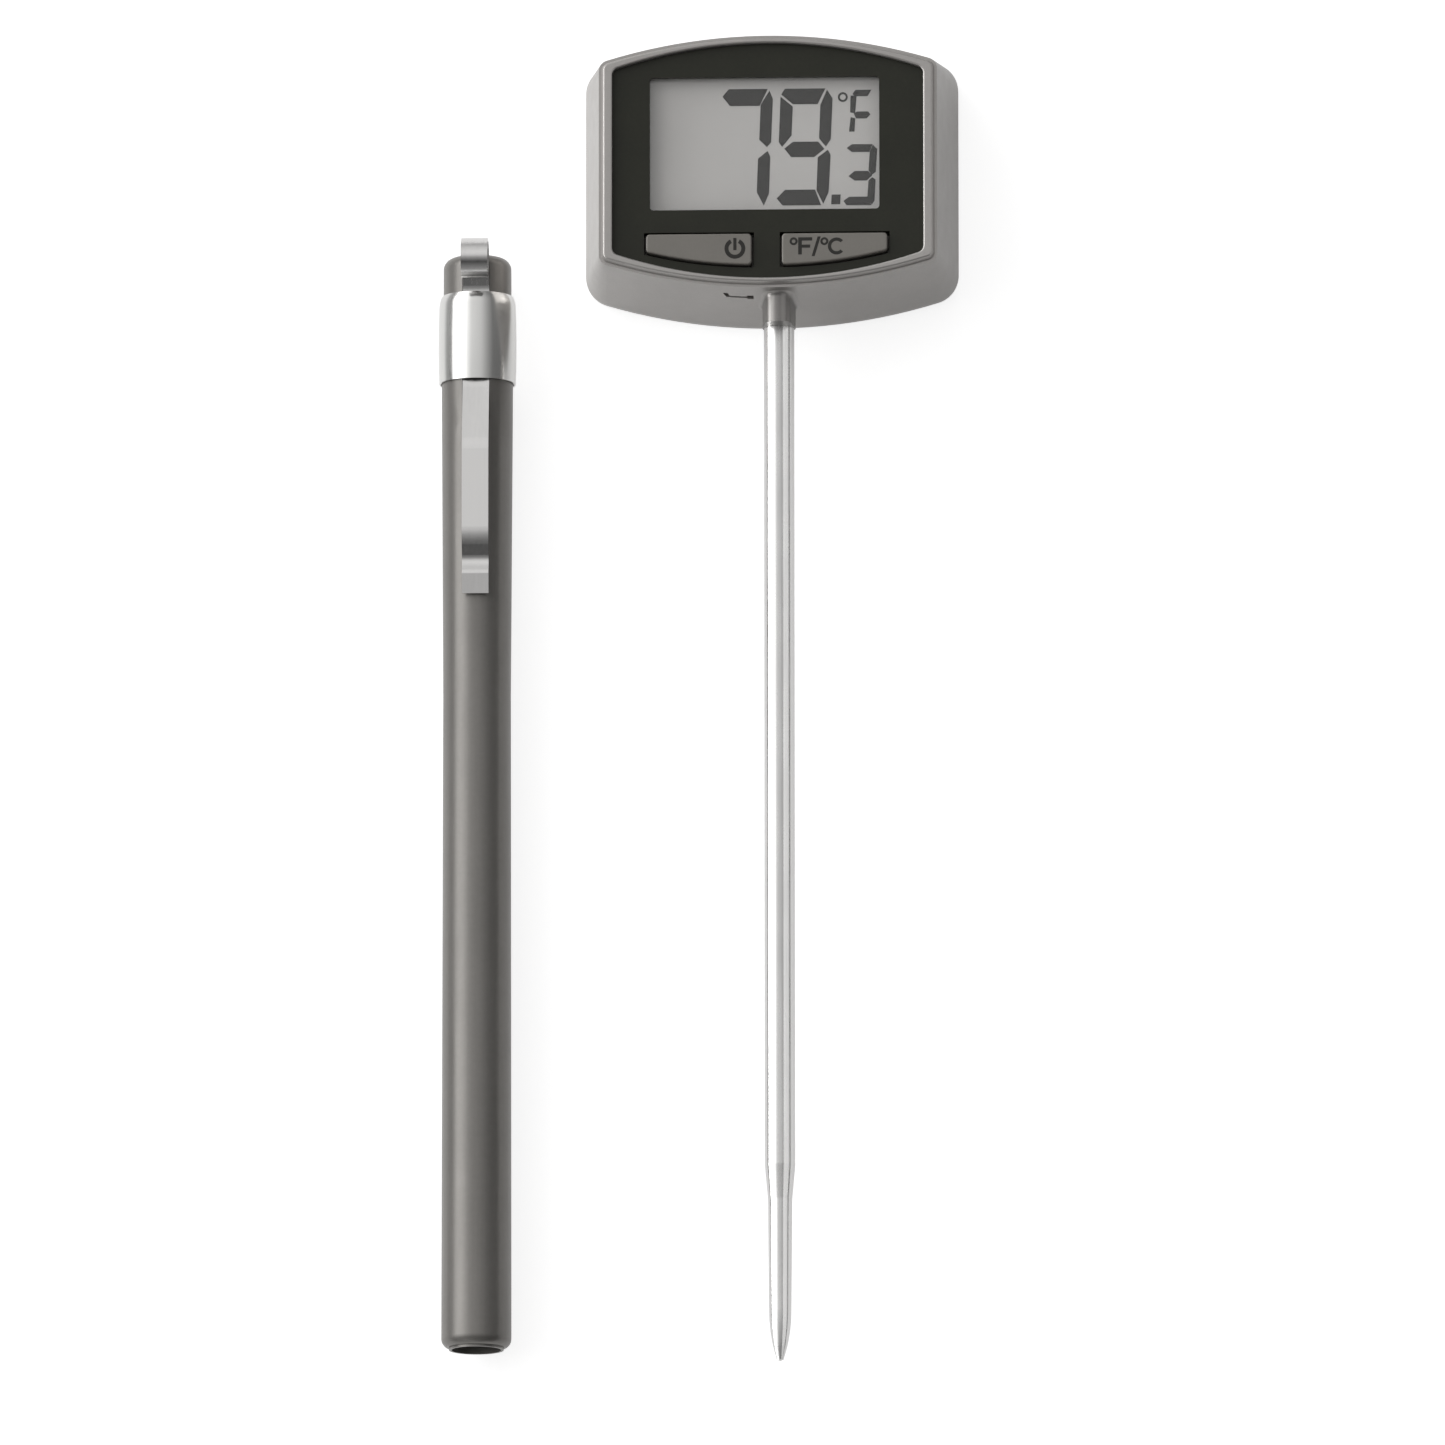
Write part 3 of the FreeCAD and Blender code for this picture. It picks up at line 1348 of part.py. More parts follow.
def sheath_tube():
    """Moulded tube, faintly waisted: closed crown, seat under the band, rolled mouth lip."""
    body = new_body("sheath_tube")
    sketch = new_sketch(body, "TubeProfile", "XY_Plane")
    outer, bore, corner = S.sheath_radius, S.sheath_bore, S.sheath_shoulder
    mouth = S.sheath_length
    lip = bore + S.mouth_lip
    groove = lip + S.mouth_groove_width
    start = S.band_drop + S.band_roll
    end = S.band_drop + S.band_length - S.band_fit
    mouth_side, shoulder = outer + S.mouth_flare, outer + S.sheath_flare
    rounding = tangent_radius(mouth_side - groove, S.mouth_round - S.mouth_groove_depth)
    profile(sketch, [
        (ZERO, ZERO), (CROWN_RADIUS - corner, ZERO), (CROWN_RADIUS, -corner),
        (CROWN_RADIUS, -start),
        (BAND_SEAT, -start), (BAND_SEAT, -end), (shoulder, -end),
        (outer - S.waist_depth, -S.waist_drop),
        (mouth_side, S.mouth_round - mouth), (groove, S.mouth_groove_depth - mouth),
        (groove - S.mouth_groove_width, S.mouth_groove_depth - mouth),
        (lip, -mouth), (bore, -mouth), (bore, -S.sheath_crown), (ZERO, -S.sheath_crown)],
        {1: (corner, False), 8: (rounding, False)})
    revolve(body, "Tube", sketch)
    sketch = new_sketch(body, "ClipBedOutline", "XY_Plane", CLIP_BED)
    half = HALF_CLIP + S.clip_bed_gap
    rectangle(sketch, -half, half, -(S.band_drop + S.band_length + S.clip_bed_tail), ZERO)
    pocket(body, "ClipBed", sketch, BAND_RADIUS - CLIP_BED, reverse=True)
    place(body, -SHEATH_REACH, -S.sheath_top, AXIS_LEVEL)
    return body


def tangent_radius(across, along):
    """Radius of an arc that leaves a straight side tangentially and ends across and along."""
    return (across * across + along * along) / (across * 2)


def clip_band():
    """Sheet-metal band, slightly barrelled, with its upper edge rolled in."""
    body = new_body("clip_band")
    sketch = new_sketch(body, "BandProfile", "XY_Plane")
    outer, edge = BAND_SIDE, BAND_EDGE
    inner = outer - S.band_sheet
    top, foot = -S.band_drop, -(S.band_drop + S.band_length)
    roll = tangent_radius(inner - edge, S.band_roll)
    barrel = tangent_radius(S.band_bulge, (S.band_length - S.band_roll) / 2)
    profile(sketch, [
        (inner, foot), (outer, foot), (outer, top - S.band_roll), (edge + S.band_sheet, top),
        (edge, top), (inner, top - S.band_roll)],
        {1: (barrel, True), 2: (roll, True), 4: (roll, False), 5: (barrel, False)})
    revolve(body, "Band", sketch)
    place(body, -SHEATH_REACH, -S.sheath_top, AXIS_LEVEL)
    return body


def rounded_path(points, radii):
    """Straight runs through points, joined by one tangent arc of a given radius each."""
    edges = []
    start = points[0]
    for before, corner, after, radius in zip(points, points[1:], points[2:], radii):
        back = (before - corner).normalize()
        ahead = (after - corner).normalize()
        half = back.getAngle(ahead) / 2
        trim = radius / math.tan(half)
        middle = corner + (back + ahead).normalize() * (radius / math.sin(half) - radius)
        first, last = corner + back * trim, corner + ahead * trim
        edges.append(Part.makeLine(start, first))
        edges.append(Part.Arc(first, middle, last).toShape())
        start = last
    edges.append(Part.makeLine(start, points[-1]))
    return edges


def clip_underside():
    """The strip's lower face from the side: loop, slope to the bed, leg, toe and lip."""
    bed = CLIP_BED.value
    eye = bed + S.eye_rise.value
    toe_level = TOE_LEVEL.value
    leg_level = toe_level + S.leg_rise.value
    lip_level = toe_level + S.lip_rise.value
    top = -S.loop_drop.value
    band_foot = -(S.band_drop + S.band_length).value
    leg_end = band_foot - S.leg_end.value
    toe = leg_end - S.toe_drop.value
    lip = toe - S.lip_drop.value
    bends = [S.eye_bend, S.bed_bend, S.leg_bend, S.leg_bend, S.leg_bend, S.toe_bend, S.lip_bend]
    stations = [
        (top, eye), (top - S.eye_run.value, eye), ((S.bed_lead - S.band_drop).value, bed),
        (band_foot - S.bed_run_out.value, bed), (band_foot - S.leg_start.value, leg_level),
        (leg_end, leg_level), (toe, toe_level), (lip, lip_level),
        (lip - S.lip_length.value, lip_level - S.lip_dip.value)]
    points = [FreeCAD.Vector(0, along, level) for along, level in stations]
    radius = (S.loop_radius + S.clip_sheet).value
    centre = FreeCAD.Vector(0, top, eye + radius)
    turn = math.radians(S.loop_wrap.value)

    def on_loop(angle):
        return centre + FreeCAD.Vector(0, math.sin(angle), -math.cos(angle)) * radius

    curl = Part.Arc(on_loop(turn), on_loop(turn / 2), on_loop(0)).toShape()
    return [curl] + rounded_path(points, [bend.value for bend in bends])


def pocket_clip():
    """Spring-steel strip, thickened from its lower face and drawn out to its width."""
    wire = Part.Wire(clip_underside())
    face = wire.makeOffset2D(S.clip_sheet.value, 0, True, True, False)
    width = S.clip_width.value
    strip = Part.Face(face).extrude(FreeCAD.Vector(width, 0, 0))
    clip = doc.addObject("Part::Feature", "pocket_clip")
    clip.Shape = strip
    clip.Placement = FreeCAD.Placement(
        FreeCAD.Vector(-SHEATH_REACH.value - width / 2, -S.sheath_top.value, AXIS_LEVEL.value),
        FreeCAD.Rotation())
    return clip


# ---------------------------------------------------------------- whole part


def build_pieces():
    """Every sub-part, in the order of taking the object apart."""
    return [
        front_housing(), face_panel(), display_window(), lcd_glass(), lcd_frame(),
        zebra_strip(), circuit_board(), board_screws(), controller_chip(), crystal(),
        switch_case("power_switch", -1), switch_plunger("power_switch_plunger", -1),
        push_button("power_button", -1),
        switch_case("unit_switch", 1), switch_plunger("unit_switch_plunger", 1),
        push_button("unit_button", 1),
        back_cover(), case_screws(), coin_cell(), battery_contact_negative(),
        battery_contact_positive(), battery_door(), door_seal(),
        probe_stem(), stem_collar(), stem_seal(), thermistor(), sensor_leads(),
        sheath_tube(), clip_band(), pocket_clip(),
    ]


def check(pieces):
    """Stop if any object failed to build or any piece has no valid shape."""
    for obj in doc.Objects:
        if "Invalid" in obj.State or "Error" in obj.State:
            raise RuntimeError("%s failed: %s" % (obj.Name, obj.State))
    for piece in pieces:
        if piece.Shape.isNull() or not piece.Shape.isValid():
            raise RuntimeError("%s has no valid shape" % piece.Label)


def write(pieces):
    """One STEP file for each piece, named by its label."""
    os.makedirs("parts", exist_ok=True)
    for piece in pieces:
        piece.Shape.exportStep("parts/%s.step" % piece.Label)
        print(piece.Label, len(piece.Shape.Solids), round(piece.Shape.Volume, 3))


PIECES = build_pieces()
doc.recompute()
check(PIECES)
write(PIECES)
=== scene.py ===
"""Dress the packed soil thermometer probe: materials, display reading, marks and studio."""

import json
import math

import bmesh
import bpy
from mathutils import Matrix, Vector


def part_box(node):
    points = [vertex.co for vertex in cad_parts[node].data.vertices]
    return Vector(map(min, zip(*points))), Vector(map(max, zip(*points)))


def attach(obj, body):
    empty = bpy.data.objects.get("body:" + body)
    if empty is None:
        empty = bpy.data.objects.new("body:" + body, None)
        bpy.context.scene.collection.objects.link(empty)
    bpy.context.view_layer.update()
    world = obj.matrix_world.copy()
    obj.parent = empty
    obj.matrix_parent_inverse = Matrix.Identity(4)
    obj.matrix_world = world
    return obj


MM = 0.001

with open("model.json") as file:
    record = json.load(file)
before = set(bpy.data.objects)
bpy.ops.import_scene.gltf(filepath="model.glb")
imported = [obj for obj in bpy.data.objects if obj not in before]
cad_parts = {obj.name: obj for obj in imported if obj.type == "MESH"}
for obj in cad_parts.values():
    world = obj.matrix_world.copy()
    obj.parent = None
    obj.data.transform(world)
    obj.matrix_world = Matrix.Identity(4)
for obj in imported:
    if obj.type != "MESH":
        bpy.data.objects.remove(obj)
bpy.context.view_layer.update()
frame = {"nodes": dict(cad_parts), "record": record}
nodes = frame["nodes"]
scene = bpy.context.scene


# ---------------------------------------------------------------- node helpers

# Sockets of the Mix node that take and give colours.
MIX_FACTOR, MIX_A, MIX_B, MIX_RESULT = 0, 6, 7, 2
# Where a noise's values lie: nearly all of them, and the middle ones.
NOISE_SPAN = (0.3, 0.7)
MIDDLE_SPAN = (0.35, 0.65)


class Shader:
    """A small builder for one node tree."""

    def __init__(self, tree):
        self.tree = tree
        self.tree.nodes.clear()

    def node(self, kind, inputs=None, **settings):
        """A node with its settings, and with a value or a link on each named input."""
        made = self.tree.nodes.new(kind)
        for name, value in settings.items():
            setattr(made, name, value)
        for name, value in (inputs or {}).items():
            self.put(made.inputs[name], value)
        return made

    def put(self, socket, value):
        """Link a socket to another one, or write a value on it."""
        if isinstance(value, bpy.types.NodeSocket):
            self.tree.links.new(value, socket)
        else:
            socket.default_value = value

    def math(self, operation, a, b):
        made = self.node("ShaderNodeMath", {0: a, 1: b}, operation=operation)
        return made.outputs[0]

    def spread(self, value, low, high, out_low, out_high):
        """Map a range of values onto another, clamped."""
        made = self.node("ShaderNodeMapRange", {
            "Value": value, "From Min": low, "From Max": high,
            "To Min": out_low, "To Max": out_high})
        return made.outputs["Result"]

    def wander(self, noise, low, high, span=NOISE_SPAN):
        """Let a noise wander between two values."""
        return self.spread(noise, *span, low, high)

    def ramp(self, value, stops):
        """Colours or greys by value, blended between the stops."""
        made = self.node("ShaderNodeValToRGB", {"Fac": value})
        ramp = made.color_ramp
        while len(ramp.elements) > 1:
            ramp.elements.remove(ramp.elements[-1])
        ramp.elements[0].position = stops[0][0]
        ramp.elements[0].color = opaque(stops[0][1])
        for position, colour in stops[1:]:
            ramp.elements.new(position).color = opaque(colour)
        return made.outputs["Color"]

    def above(self, noise, low, high):
        """1 where a noise stands above a level, with a soft edge, and 0 elsewhere."""
        return self.ramp(noise, [(low, 0.0), (high, 1.0)])

    def noise(self, at, scale, detail=3.0, roughness=0.55):
        made = self.node("ShaderNodeTexNoise", {
            "Vector": at, "Scale": scale, "Detail": detail, "Roughness": roughness})
        return made.outputs["Fac"]

    def stretched(self, at, x, y, z):
        made = self.node("ShaderNodeMapping", {"Vector": at, "Scale": (x, y, z)})
        return made.outputs["Vector"]

    def mix(self, factor, a, b, blend="MIX"):
        made = self.node("ShaderNodeMix", data_type="RGBA", blend_type=blend)
        self.put(made.inputs[MIX_FACTOR], factor)
        self.put(made.inputs[MIX_A], a)
        self.put(made.inputs[MIX_B], b)
        return made.outputs[MIX_RESULT]

    def as_grey(self, value):
        """A grey as bright as a value."""
        made = self.node("ShaderNodeCombineColor", {"Red": value, "Green": value, "Blue": value})
        return made.outputs[0]

    def axis(self, vector, name):
        """One coordinate of a vector."""
        return self.node("ShaderNodeSeparateXYZ", {"Vector": vector}).outputs[name]

    def bump(self, height, strength, distance, under=None):
        made = self.node("ShaderNodeBump", {
            "Height": height, "Strength": strength, "Distance": distance})
        if under is not None:
            self.put(made.inputs["Normal"], under)
        return made.outputs["Normal"]

    def object_point(self):
        return self.node("ShaderNodeTexCoord").outputs["Object"]

    def finish(self, kind, shader):
        """Close the tree with its output node."""
        output = self.node(kind)
        self.tree.links.new(shader.outputs[0], output.inputs["Surface"])


def opaque(colour):
    """A colour with full alpha, from one number or three."""
    if isinstance(colour, (int, float)):
        return (colour, colour, colour, 1.0)
    return (*colour, 1.0)


def tint(colour, factor):
    """A colour made darker or lighter."""
    return tuple(min(1.0, channel * factor) for channel in colour)


def new_material(name):
    """A material and the builder of its nodes."""
    material = bpy.data.materials.new(name)
    material.use_nodes = True
    return material, Shader(material.node_tree)


def finish_surface(s, **sockets):
    """Close a material with one Principled shader; its sockets are named with underscores."""
    bsdf = s.node("ShaderNodeBsdfPrincipled")
    for name, value in sockets.items():
        s.put(bsdf.inputs[name.replace("_", " ").title().replace("Ior", "IOR")], value)
    s.finish("ShaderNodeOutputMaterial", bsdf)
    return bsdf


def mottled(s, point, colour, spread, scale):
    """Slow cloudy variation of a colour at one scale and a fine grain on top."""
    cloud = s.noise(point, scale, detail=4.0)
    grain = s.noise(point, scale * 12.0, detail=2.0)
    both = s.math("ADD", s.math("MULTIPLY", cloud, 0.6), s.math("MULTIPLY", grain, 0.4))
    low, high = tint(colour, 1.0 - spread), tint(colour, 1.0 + spread)
    return s.ramp(both, [(0.32, low), (0.68, high)])


# ---------------------------------------------------------------- materials

# The head's foot wall in millimetres: how far out it stands at the back, and how much it leans
# in for each millimetre of height. The boss is what stands out of it by more than BOSS_EDGE, and
# there the shell's colour is darkened by a painted shade for the shade and dark reflections on
# it.
FOOT_WALL = 19.68
FOOT_LEAN = 0.169
BOSS_EDGE = (0.10, 0.50)
# Painted shade: how far the shell's colour is darkened on the boss.
BOSS_PAINTED_SHADE = 0.58


def boss_shade_mask(s, point):
    """Where the painted shade goes: 1 on the stem's boss, which stands out of the foot wall, and
    0 elsewhere.
    """
    lean = s.math("MULTIPLY", s.axis(point, "Z"), -FOOT_LEAN)
    wall = s.math("ADD", lean, FOOT_WALL * MM)
    outward = s.math("MULTIPLY", s.axis(point, "Y"), -1.0)
    proud = s.math("SUBTRACT", outward, wall)
    return s.spread(proud, BOSS_EDGE[0] * MM, BOSS_EDGE[1] * MM, 0.0, 1.0)


def painted_shell():
    """Silver paint with fine metal flake over moulded plastic, with a painted shade darkening the
    stem's boss.
    """
    m, s = new_material("silver_paint")
    p = s.object_point()
    base = mottled(s, p, (0.405, 0.389, 0.374), spread=0.030, scale=160.0)
    cells = s.node("ShaderNodeTexVoronoi", {"Vector": p, "Scale": 9000.0})
    flake = s.spread(cells.outputs["Distance"], low=0.0, high=0.6, out_low=1.07, out_high=0.95)
    paint = s.mix(1.0, base, s.as_grey(flake), "MULTIPLY")
    # Painted shade: on the boss the paint is multiplied by a dark grey.
    painted_shade_on_boss = s.mix(1.0, paint, opaque(BOSS_PAINTED_SHADE), "MULTIPLY")
    colour = s.mix(boss_shade_mask(s, p), paint, painted_shade_on_boss)
    orange_peel = s.bump(s.noise(p, 900.0, detail=2.0), strength=0.06, distance=0.00012)
    normal = s.bump(s.noise(p, 2600.0, detail=2.0), strength=0.10, distance=0.00004,
                    under=orange_peel)
    rough = s.wander(s.noise(p, 420.0), 0.30, 0.36)
    finish_surface(s, base_color=colour, metallic=0.66, roughness=rough, normal=normal,
                   coat_weight=0.12, coat_roughness=0.28)
    return m


def black_panel():
    """Satin black moulding with a faint grain and fine dust specks."""
    m, s = new_material("panel_black")
    p = s.object_point()
    base = mottled(s, p, (0.0150, 0.0155, 0.0095), spread=0.14, scale=240.0)
    specks = s.above(s.noise(p, 5200.0, detail=1.0), 0.74, 0.78)
    colour = s.mix(s.math("MULTIPLY", specks, 0.25), base, opaque((0.06, 0.06, 0.055)))
    normal = s.bump(s.noise(p, 3200.0, detail=2.0), strength=0.12, distance=0.00003)
    rough = s.wander(s.noise(p, 500.0), 0.40, 0.48)
    finish_surface(s, base_color=colour, roughness=rough, normal=normal, specular_ior_level=0.30)
    return m


def clear_window():
    """Clear moulded window with the slightest waviness; light from the lamps passes through."""
    m, s = new_material("clear_acrylic")
    p = s.object_point()
    normal = s.bump(s.noise(p, 220.0, detail=1.0), strength=0.03, distance=0.00002)
    rough = s.wander(s.noise(p, 900.0, detail=2.0), 0.0, 0.015)
    acrylic = s.node("ShaderNodeBsdfPrincipled", {
        "Base Color": opaque((0.985, 0.988, 0.985)), "Transmission Weight": 1.0, "IOR": 1.45,
        "Roughness": rough, "Normal": normal})
    clear = s.node("ShaderNodeBsdfTransparent", {"Color": opaque((0.95, 0.955, 0.95))})
    path = s.node("ShaderNodeLightPath")
    lamp = s.math("MAXIMUM", path.outputs["Is Shadow Ray"], path.outputs["Is Diffuse Ray"])
    both = s.node("ShaderNodeMixShader", {0: lamp, 1: acrylic.outputs[0], 2: clear.outputs[0]})
    s.finish("ShaderNodeOutputMaterial", both)
    return m


def lcd_cell():
    """Reflective liquid crystal cell: soft grey with a grainy reflector behind."""
    m, s = new_material("lcd_grey")
    p = s.object_point()
    base = mottled(s, p, (0.506, 0.488, 0.479), spread=0.02, scale=90.0)
    grain = s.noise(p, 7000.0, detail=2.0)
    share = s.wander(grain, 0.0, 0.10, MIDDLE_SPAN)
    colour = s.mix(share, base, opaque((0.36, 0.345, 0.34)))
    rough = s.wander(grain, 0.32, 0.42)
    finish_surface(s, base_color=colour, roughness=rough, specular_ior_level=0.3)
    return m


def lcd_ink():
    """A switched-on segment: warm dark grey with a fine grain."""
    m, s = new_material("lcd_segment")
    p = s.object_point()
    base = mottled(s, p, (0.0205, 0.0188, 0.0170), spread=0.06, scale=300.0)
    rough = s.wander(s.noise(p, 7000.0, detail=2.0), 0.44, 0.54)
    finish_surface(s, base_color=base, roughness=rough, specular_ior_level=0.1)
    return m


def moulding(name, colour, rough, grain=2400.0, depth=0.00003, specular=0.5, cloud=180.0):
    """Plain moulded plastic or rubber with cloudiness, grain and a fine bump."""
    m, s = new_material(name)
    p = s.object_point()
    base = mottled(s, p, colour, spread=0.05, scale=cloud)
    normal = s.bump(s.noise(p, grain), strength=0.15, distance=depth)
    roughness = s.wander(s.noise(p, cloud * 3.0), rough - 0.04, rough + 0.04)
    finish_surface(s, base_color=base, roughness=roughness, normal=normal,
                   specular_ior_level=specular)
    return m


def sheath_plastic():
    """Warm grey pearl moulding: satin, with faint streaks drawn lengthwise."""
    m, s = new_material("sheath_grey")
    p = s.object_point()
    base = mottled(s, p, (0.245, 0.234, 0.220), spread=0.05, scale=120.0)
    drawn = s.noise(s.stretched(p, 1.0, 0.03, 1.0), 2600.0, detail=2.0)
    share = s.wander(drawn, 0.0, 0.12, MIDDLE_SPAN)
    colour = s.mix(share, base, opaque((0.192, 0.183, 0.171)))
    grain = s.bump(s.noise(p, 3400.0, detail=2.0), strength=0.08, distance=0.00003)
    normal = s.bump(drawn, strength=0.10, distance=0.00003, under=grain)
    rough = s.wander(s.noise(s.stretched(p, 1.0, 0.2, 1.0), 500.0), 0.30, 0.37)
    finish_surface(s, base_color=colour, metallic=0.45, roughness=rough, normal=normal,
                   specular_ior_level=0.6)
    return m


# How a noise is stretched into fine lines along an axis.
LINES_ALONG = {"x": (0.02, 1.0, 1.0), "y": (1.0, 0.02, 1.0)}


def worked_metal(name, colour, rough, along, lines, depth, spread=0.05, turned=False):
    """Bare metal with fine lines along x or y; turned metal smears its gloss about Y."""
    m, s = new_material(name)
    p = s.object_point()
    stretch = LINES_ALONG[along]
    drawn = s.noise(s.stretched(p, *stretch), lines, roughness=0.6)
    cloud = s.noise(p, 140.0, detail=4.0)
    both = s.math("ADD", s.math("MULTIPLY", drawn, 0.55), s.math("MULTIPLY", cloud, 0.45))
    base = s.ramp(both, [(0.34, tint(colour, 1.0 - spread)), (0.66, tint(colour, 1.0 + spread))])
    scratch = s.above(s.noise(s.stretched(p, *stretch), lines * 0.35, detail=2.0), 0.66, 0.72)
    roughness = s.math("ADD", s.wander(both, rough * 0.8, rough * 1.25, MIDDLE_SPAN),
                       s.math("MULTIPLY", scratch, rough * 0.4))
    normal = s.bump(drawn, strength=0.12, distance=depth)
    bsdf = finish_surface(s, base_color=base, metallic=1.0, roughness=roughness, normal=normal)
    if turned:
        round_y = s.node("ShaderNodeTangent", direction_type="RADIAL", axis="Y").outputs[0]
        s.put(bsdf.inputs["Tangent"], round_y)
        s.put(bsdf.inputs["Anisotropic"], 0.9)
        s.put(bsdf.inputs["Anisotropic Rotation"], 0.25)
    return m


def board_green():
    """Solder mask over a web of copper tracks."""
    m, s = new_material("board_mask")
    p = s.object_point()
    base = mottled(s, p, (0.018, 0.105, 0.045), spread=0.08, scale=260.0)
    cells = s.node("ShaderNodeTexVoronoi", {"Vector": p, "Scale": 420.0},
                   feature="DISTANCE_TO_EDGE", distance="CHEBYCHEV")
    tracks = s.ramp(cells.outputs["Distance"], [(0.05, 1.0), (0.09, 0.0)])
    colour = s.mix(s.math("MULTIPLY", tracks, 0.6), base, opaque((0.035, 0.17, 0.07)))
    normal = s.bump(tracks, strength=0.3, distance=0.00003)
    rough = s.wander(s.noise(p, 800.0, detail=2.0), 0.28, 0.36)
    finish_surface(s, base_color=colour, roughness=rough, normal=normal)
    return m


def print_ink():
    """Dark pad print on the buttons, a little worn."""
    m, s = new_material("pad_print")
    p = s.object_point()
    base = mottled(s, p, (0.0290, 0.0278, 0.0245), spread=0.10, scale=900.0)
    worn = s.above(s.noise(p, 2600.0), 0.62, 0.74)
    colour = s.mix(s.math("MULTIPLY", worn, 0.35), base, opaque((0.080, 0.076, 0.069)))
    rough = s.spread(worn, low=0.0, high=1.0, out_low=0.46, out_high=0.56)
    finish_surface(s, base_color=colour, roughness=rough, specular_ior_level=0.3)
    return m


SLOT_MATERIALS = {
    "silver_shell": painted_shell(),
    "black_panel": black_panel(),
    "clear_window": clear_window(),
    "lcd_cell": lcd_cell(),
    "inner_plastic": moulding("inner_white", (0.62, 0.61, 0.57), rough=0.45),
    "seal_rubber": moulding("seal_black", (0.018, 0.018, 0.018), rough=0.62, grain=3800.0),
    "board_laminate": board_green(),
    "screw_steel": worked_metal("screw_zinc", (0.62, 0.62, 0.61), rough=0.28, along="x",
                                lines=4200.0, depth=0.00003),
    "chip_epoxy": moulding("chip_black", (0.014, 0.014, 0.015), rough=0.22, grain=1500.0),
    "can_metal": worked_metal("can_drawn", (0.72, 0.72, 0.71), rough=0.24, along="y",
                              lines=3800.0, depth=0.00002),
    "switch_plastic": moulding("switch_black", (0.035, 0.035, 0.037), rough=0.40),
    "button_grey": moulding("button_satin", (0.172, 0.162, 0.146), rough=0.46, grain=2800.0,
                            depth=0.00004, specular=0.45, cloud=260.0),
    "contact_brass": worked_metal("contact_plated", (0.80, 0.66, 0.38), rough=0.26, along="x",
                                  lines=4200.0, depth=0.00002),
    "stem_steel": worked_metal("stem_polished", (0.88, 0.875, 0.865), rough=0.28, along="y",
                               lines=3000.0, depth=0.000004, spread=0.02, turned=True),
    "lead_sleeve": moulding("lead_red", (0.42, 0.035, 0.03), rough=0.42),
    "sheath_plastic": sheath_plastic(),
    "band_steel": worked_metal("band_polished", (0.77, 0.765, 0.75), rough=0.21, along="y",
                               lines=2600.0, depth=0.00001, spread=0.025),
    "clip_steel": worked_metal("clip_spring", (0.76, 0.75, 0.74), rough=0.20, along="y",
                               lines=3400.0, depth=0.00002, spread=0.03),
}


def dress_nodes():
    """Give each carried-over node the material of its slot in the record."""
    for row in frame["record"]["subparts"]:
        obj = nodes[row["node"]]
        material = SLOT_MATERIALS[row["material_slot"]]
        if not obj.data.materials:
            obj.data.materials.append(material)
        for index in range(len(obj.data.materials)):
            obj.data.materials[index] = material


# ---------------------------------------------------------------- mesh helpers


def mesh_object(name, bm, material):
    """An object in the scene, from a mesh under construction and one material."""
    mesh = bpy.data.meshes.new(name)
    bm.to_mesh(mesh)
    bm.free()
    mesh.materials.append(material)
    obj = bpy.data.objects.new(name, mesh)
    scene.collection.objects.link(obj)
    return obj


def printed_piece(name, bm, material, body):
    """A thin closed piece that rides on a body."""
    bmesh.ops.recalc_face_normals(bm, faces=bm.faces)
    obj = mesh_object(name, bm, material)
    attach(obj, body)


def plate(bm, outline, low, high):
    """A flat plate from an outline of x, y points in metres."""
    bottom = [bm.verts.new((x, y, low)) for x, y in outline]
    top = [bm.verts.new((x, y, high)) for x, y in outline]
    bm.faces.new(top)
    bm.faces.new(list(reversed(bottom)))
    for i in range(len(outline)):
        j = (i + 1) % len(outline)
        bm.faces.new((bottom[i], bottom[j], top[j], top[i]))


def ring(bm, centre, outer, inner, low, high, start=0.0, turn=360.0, steps=40):
    """A flat ring, or part of one, counted in degrees from +X."""
    closed = turn >= 360.0
    count = steps if closed else steps + 1
    sections = []
    for i in range(count):
        angle = math.radians(start + turn * i / steps)
        across, along = math.cos(angle), math.sin(angle)
        sections.append([bm.verts.new((centre[0] + across * r, centre[1] + along * r, z))
                         for r, z in ((outer, low), (outer, high), (inner, high), (inner, low))])
    for i in range(count if closed else count - 1):
        here, there = sections[i], sections[(i + 1) % count]
        for k in range(4):
            m = (k + 1) % 4
            bm.faces.new((here[k], there[k], there[m], here[m]))
    if not closed:
        bm.faces.new(sections[0])
        bm.faces.new(list(reversed(sections[-1])))


# ---------------------------------------------------------------- display reading

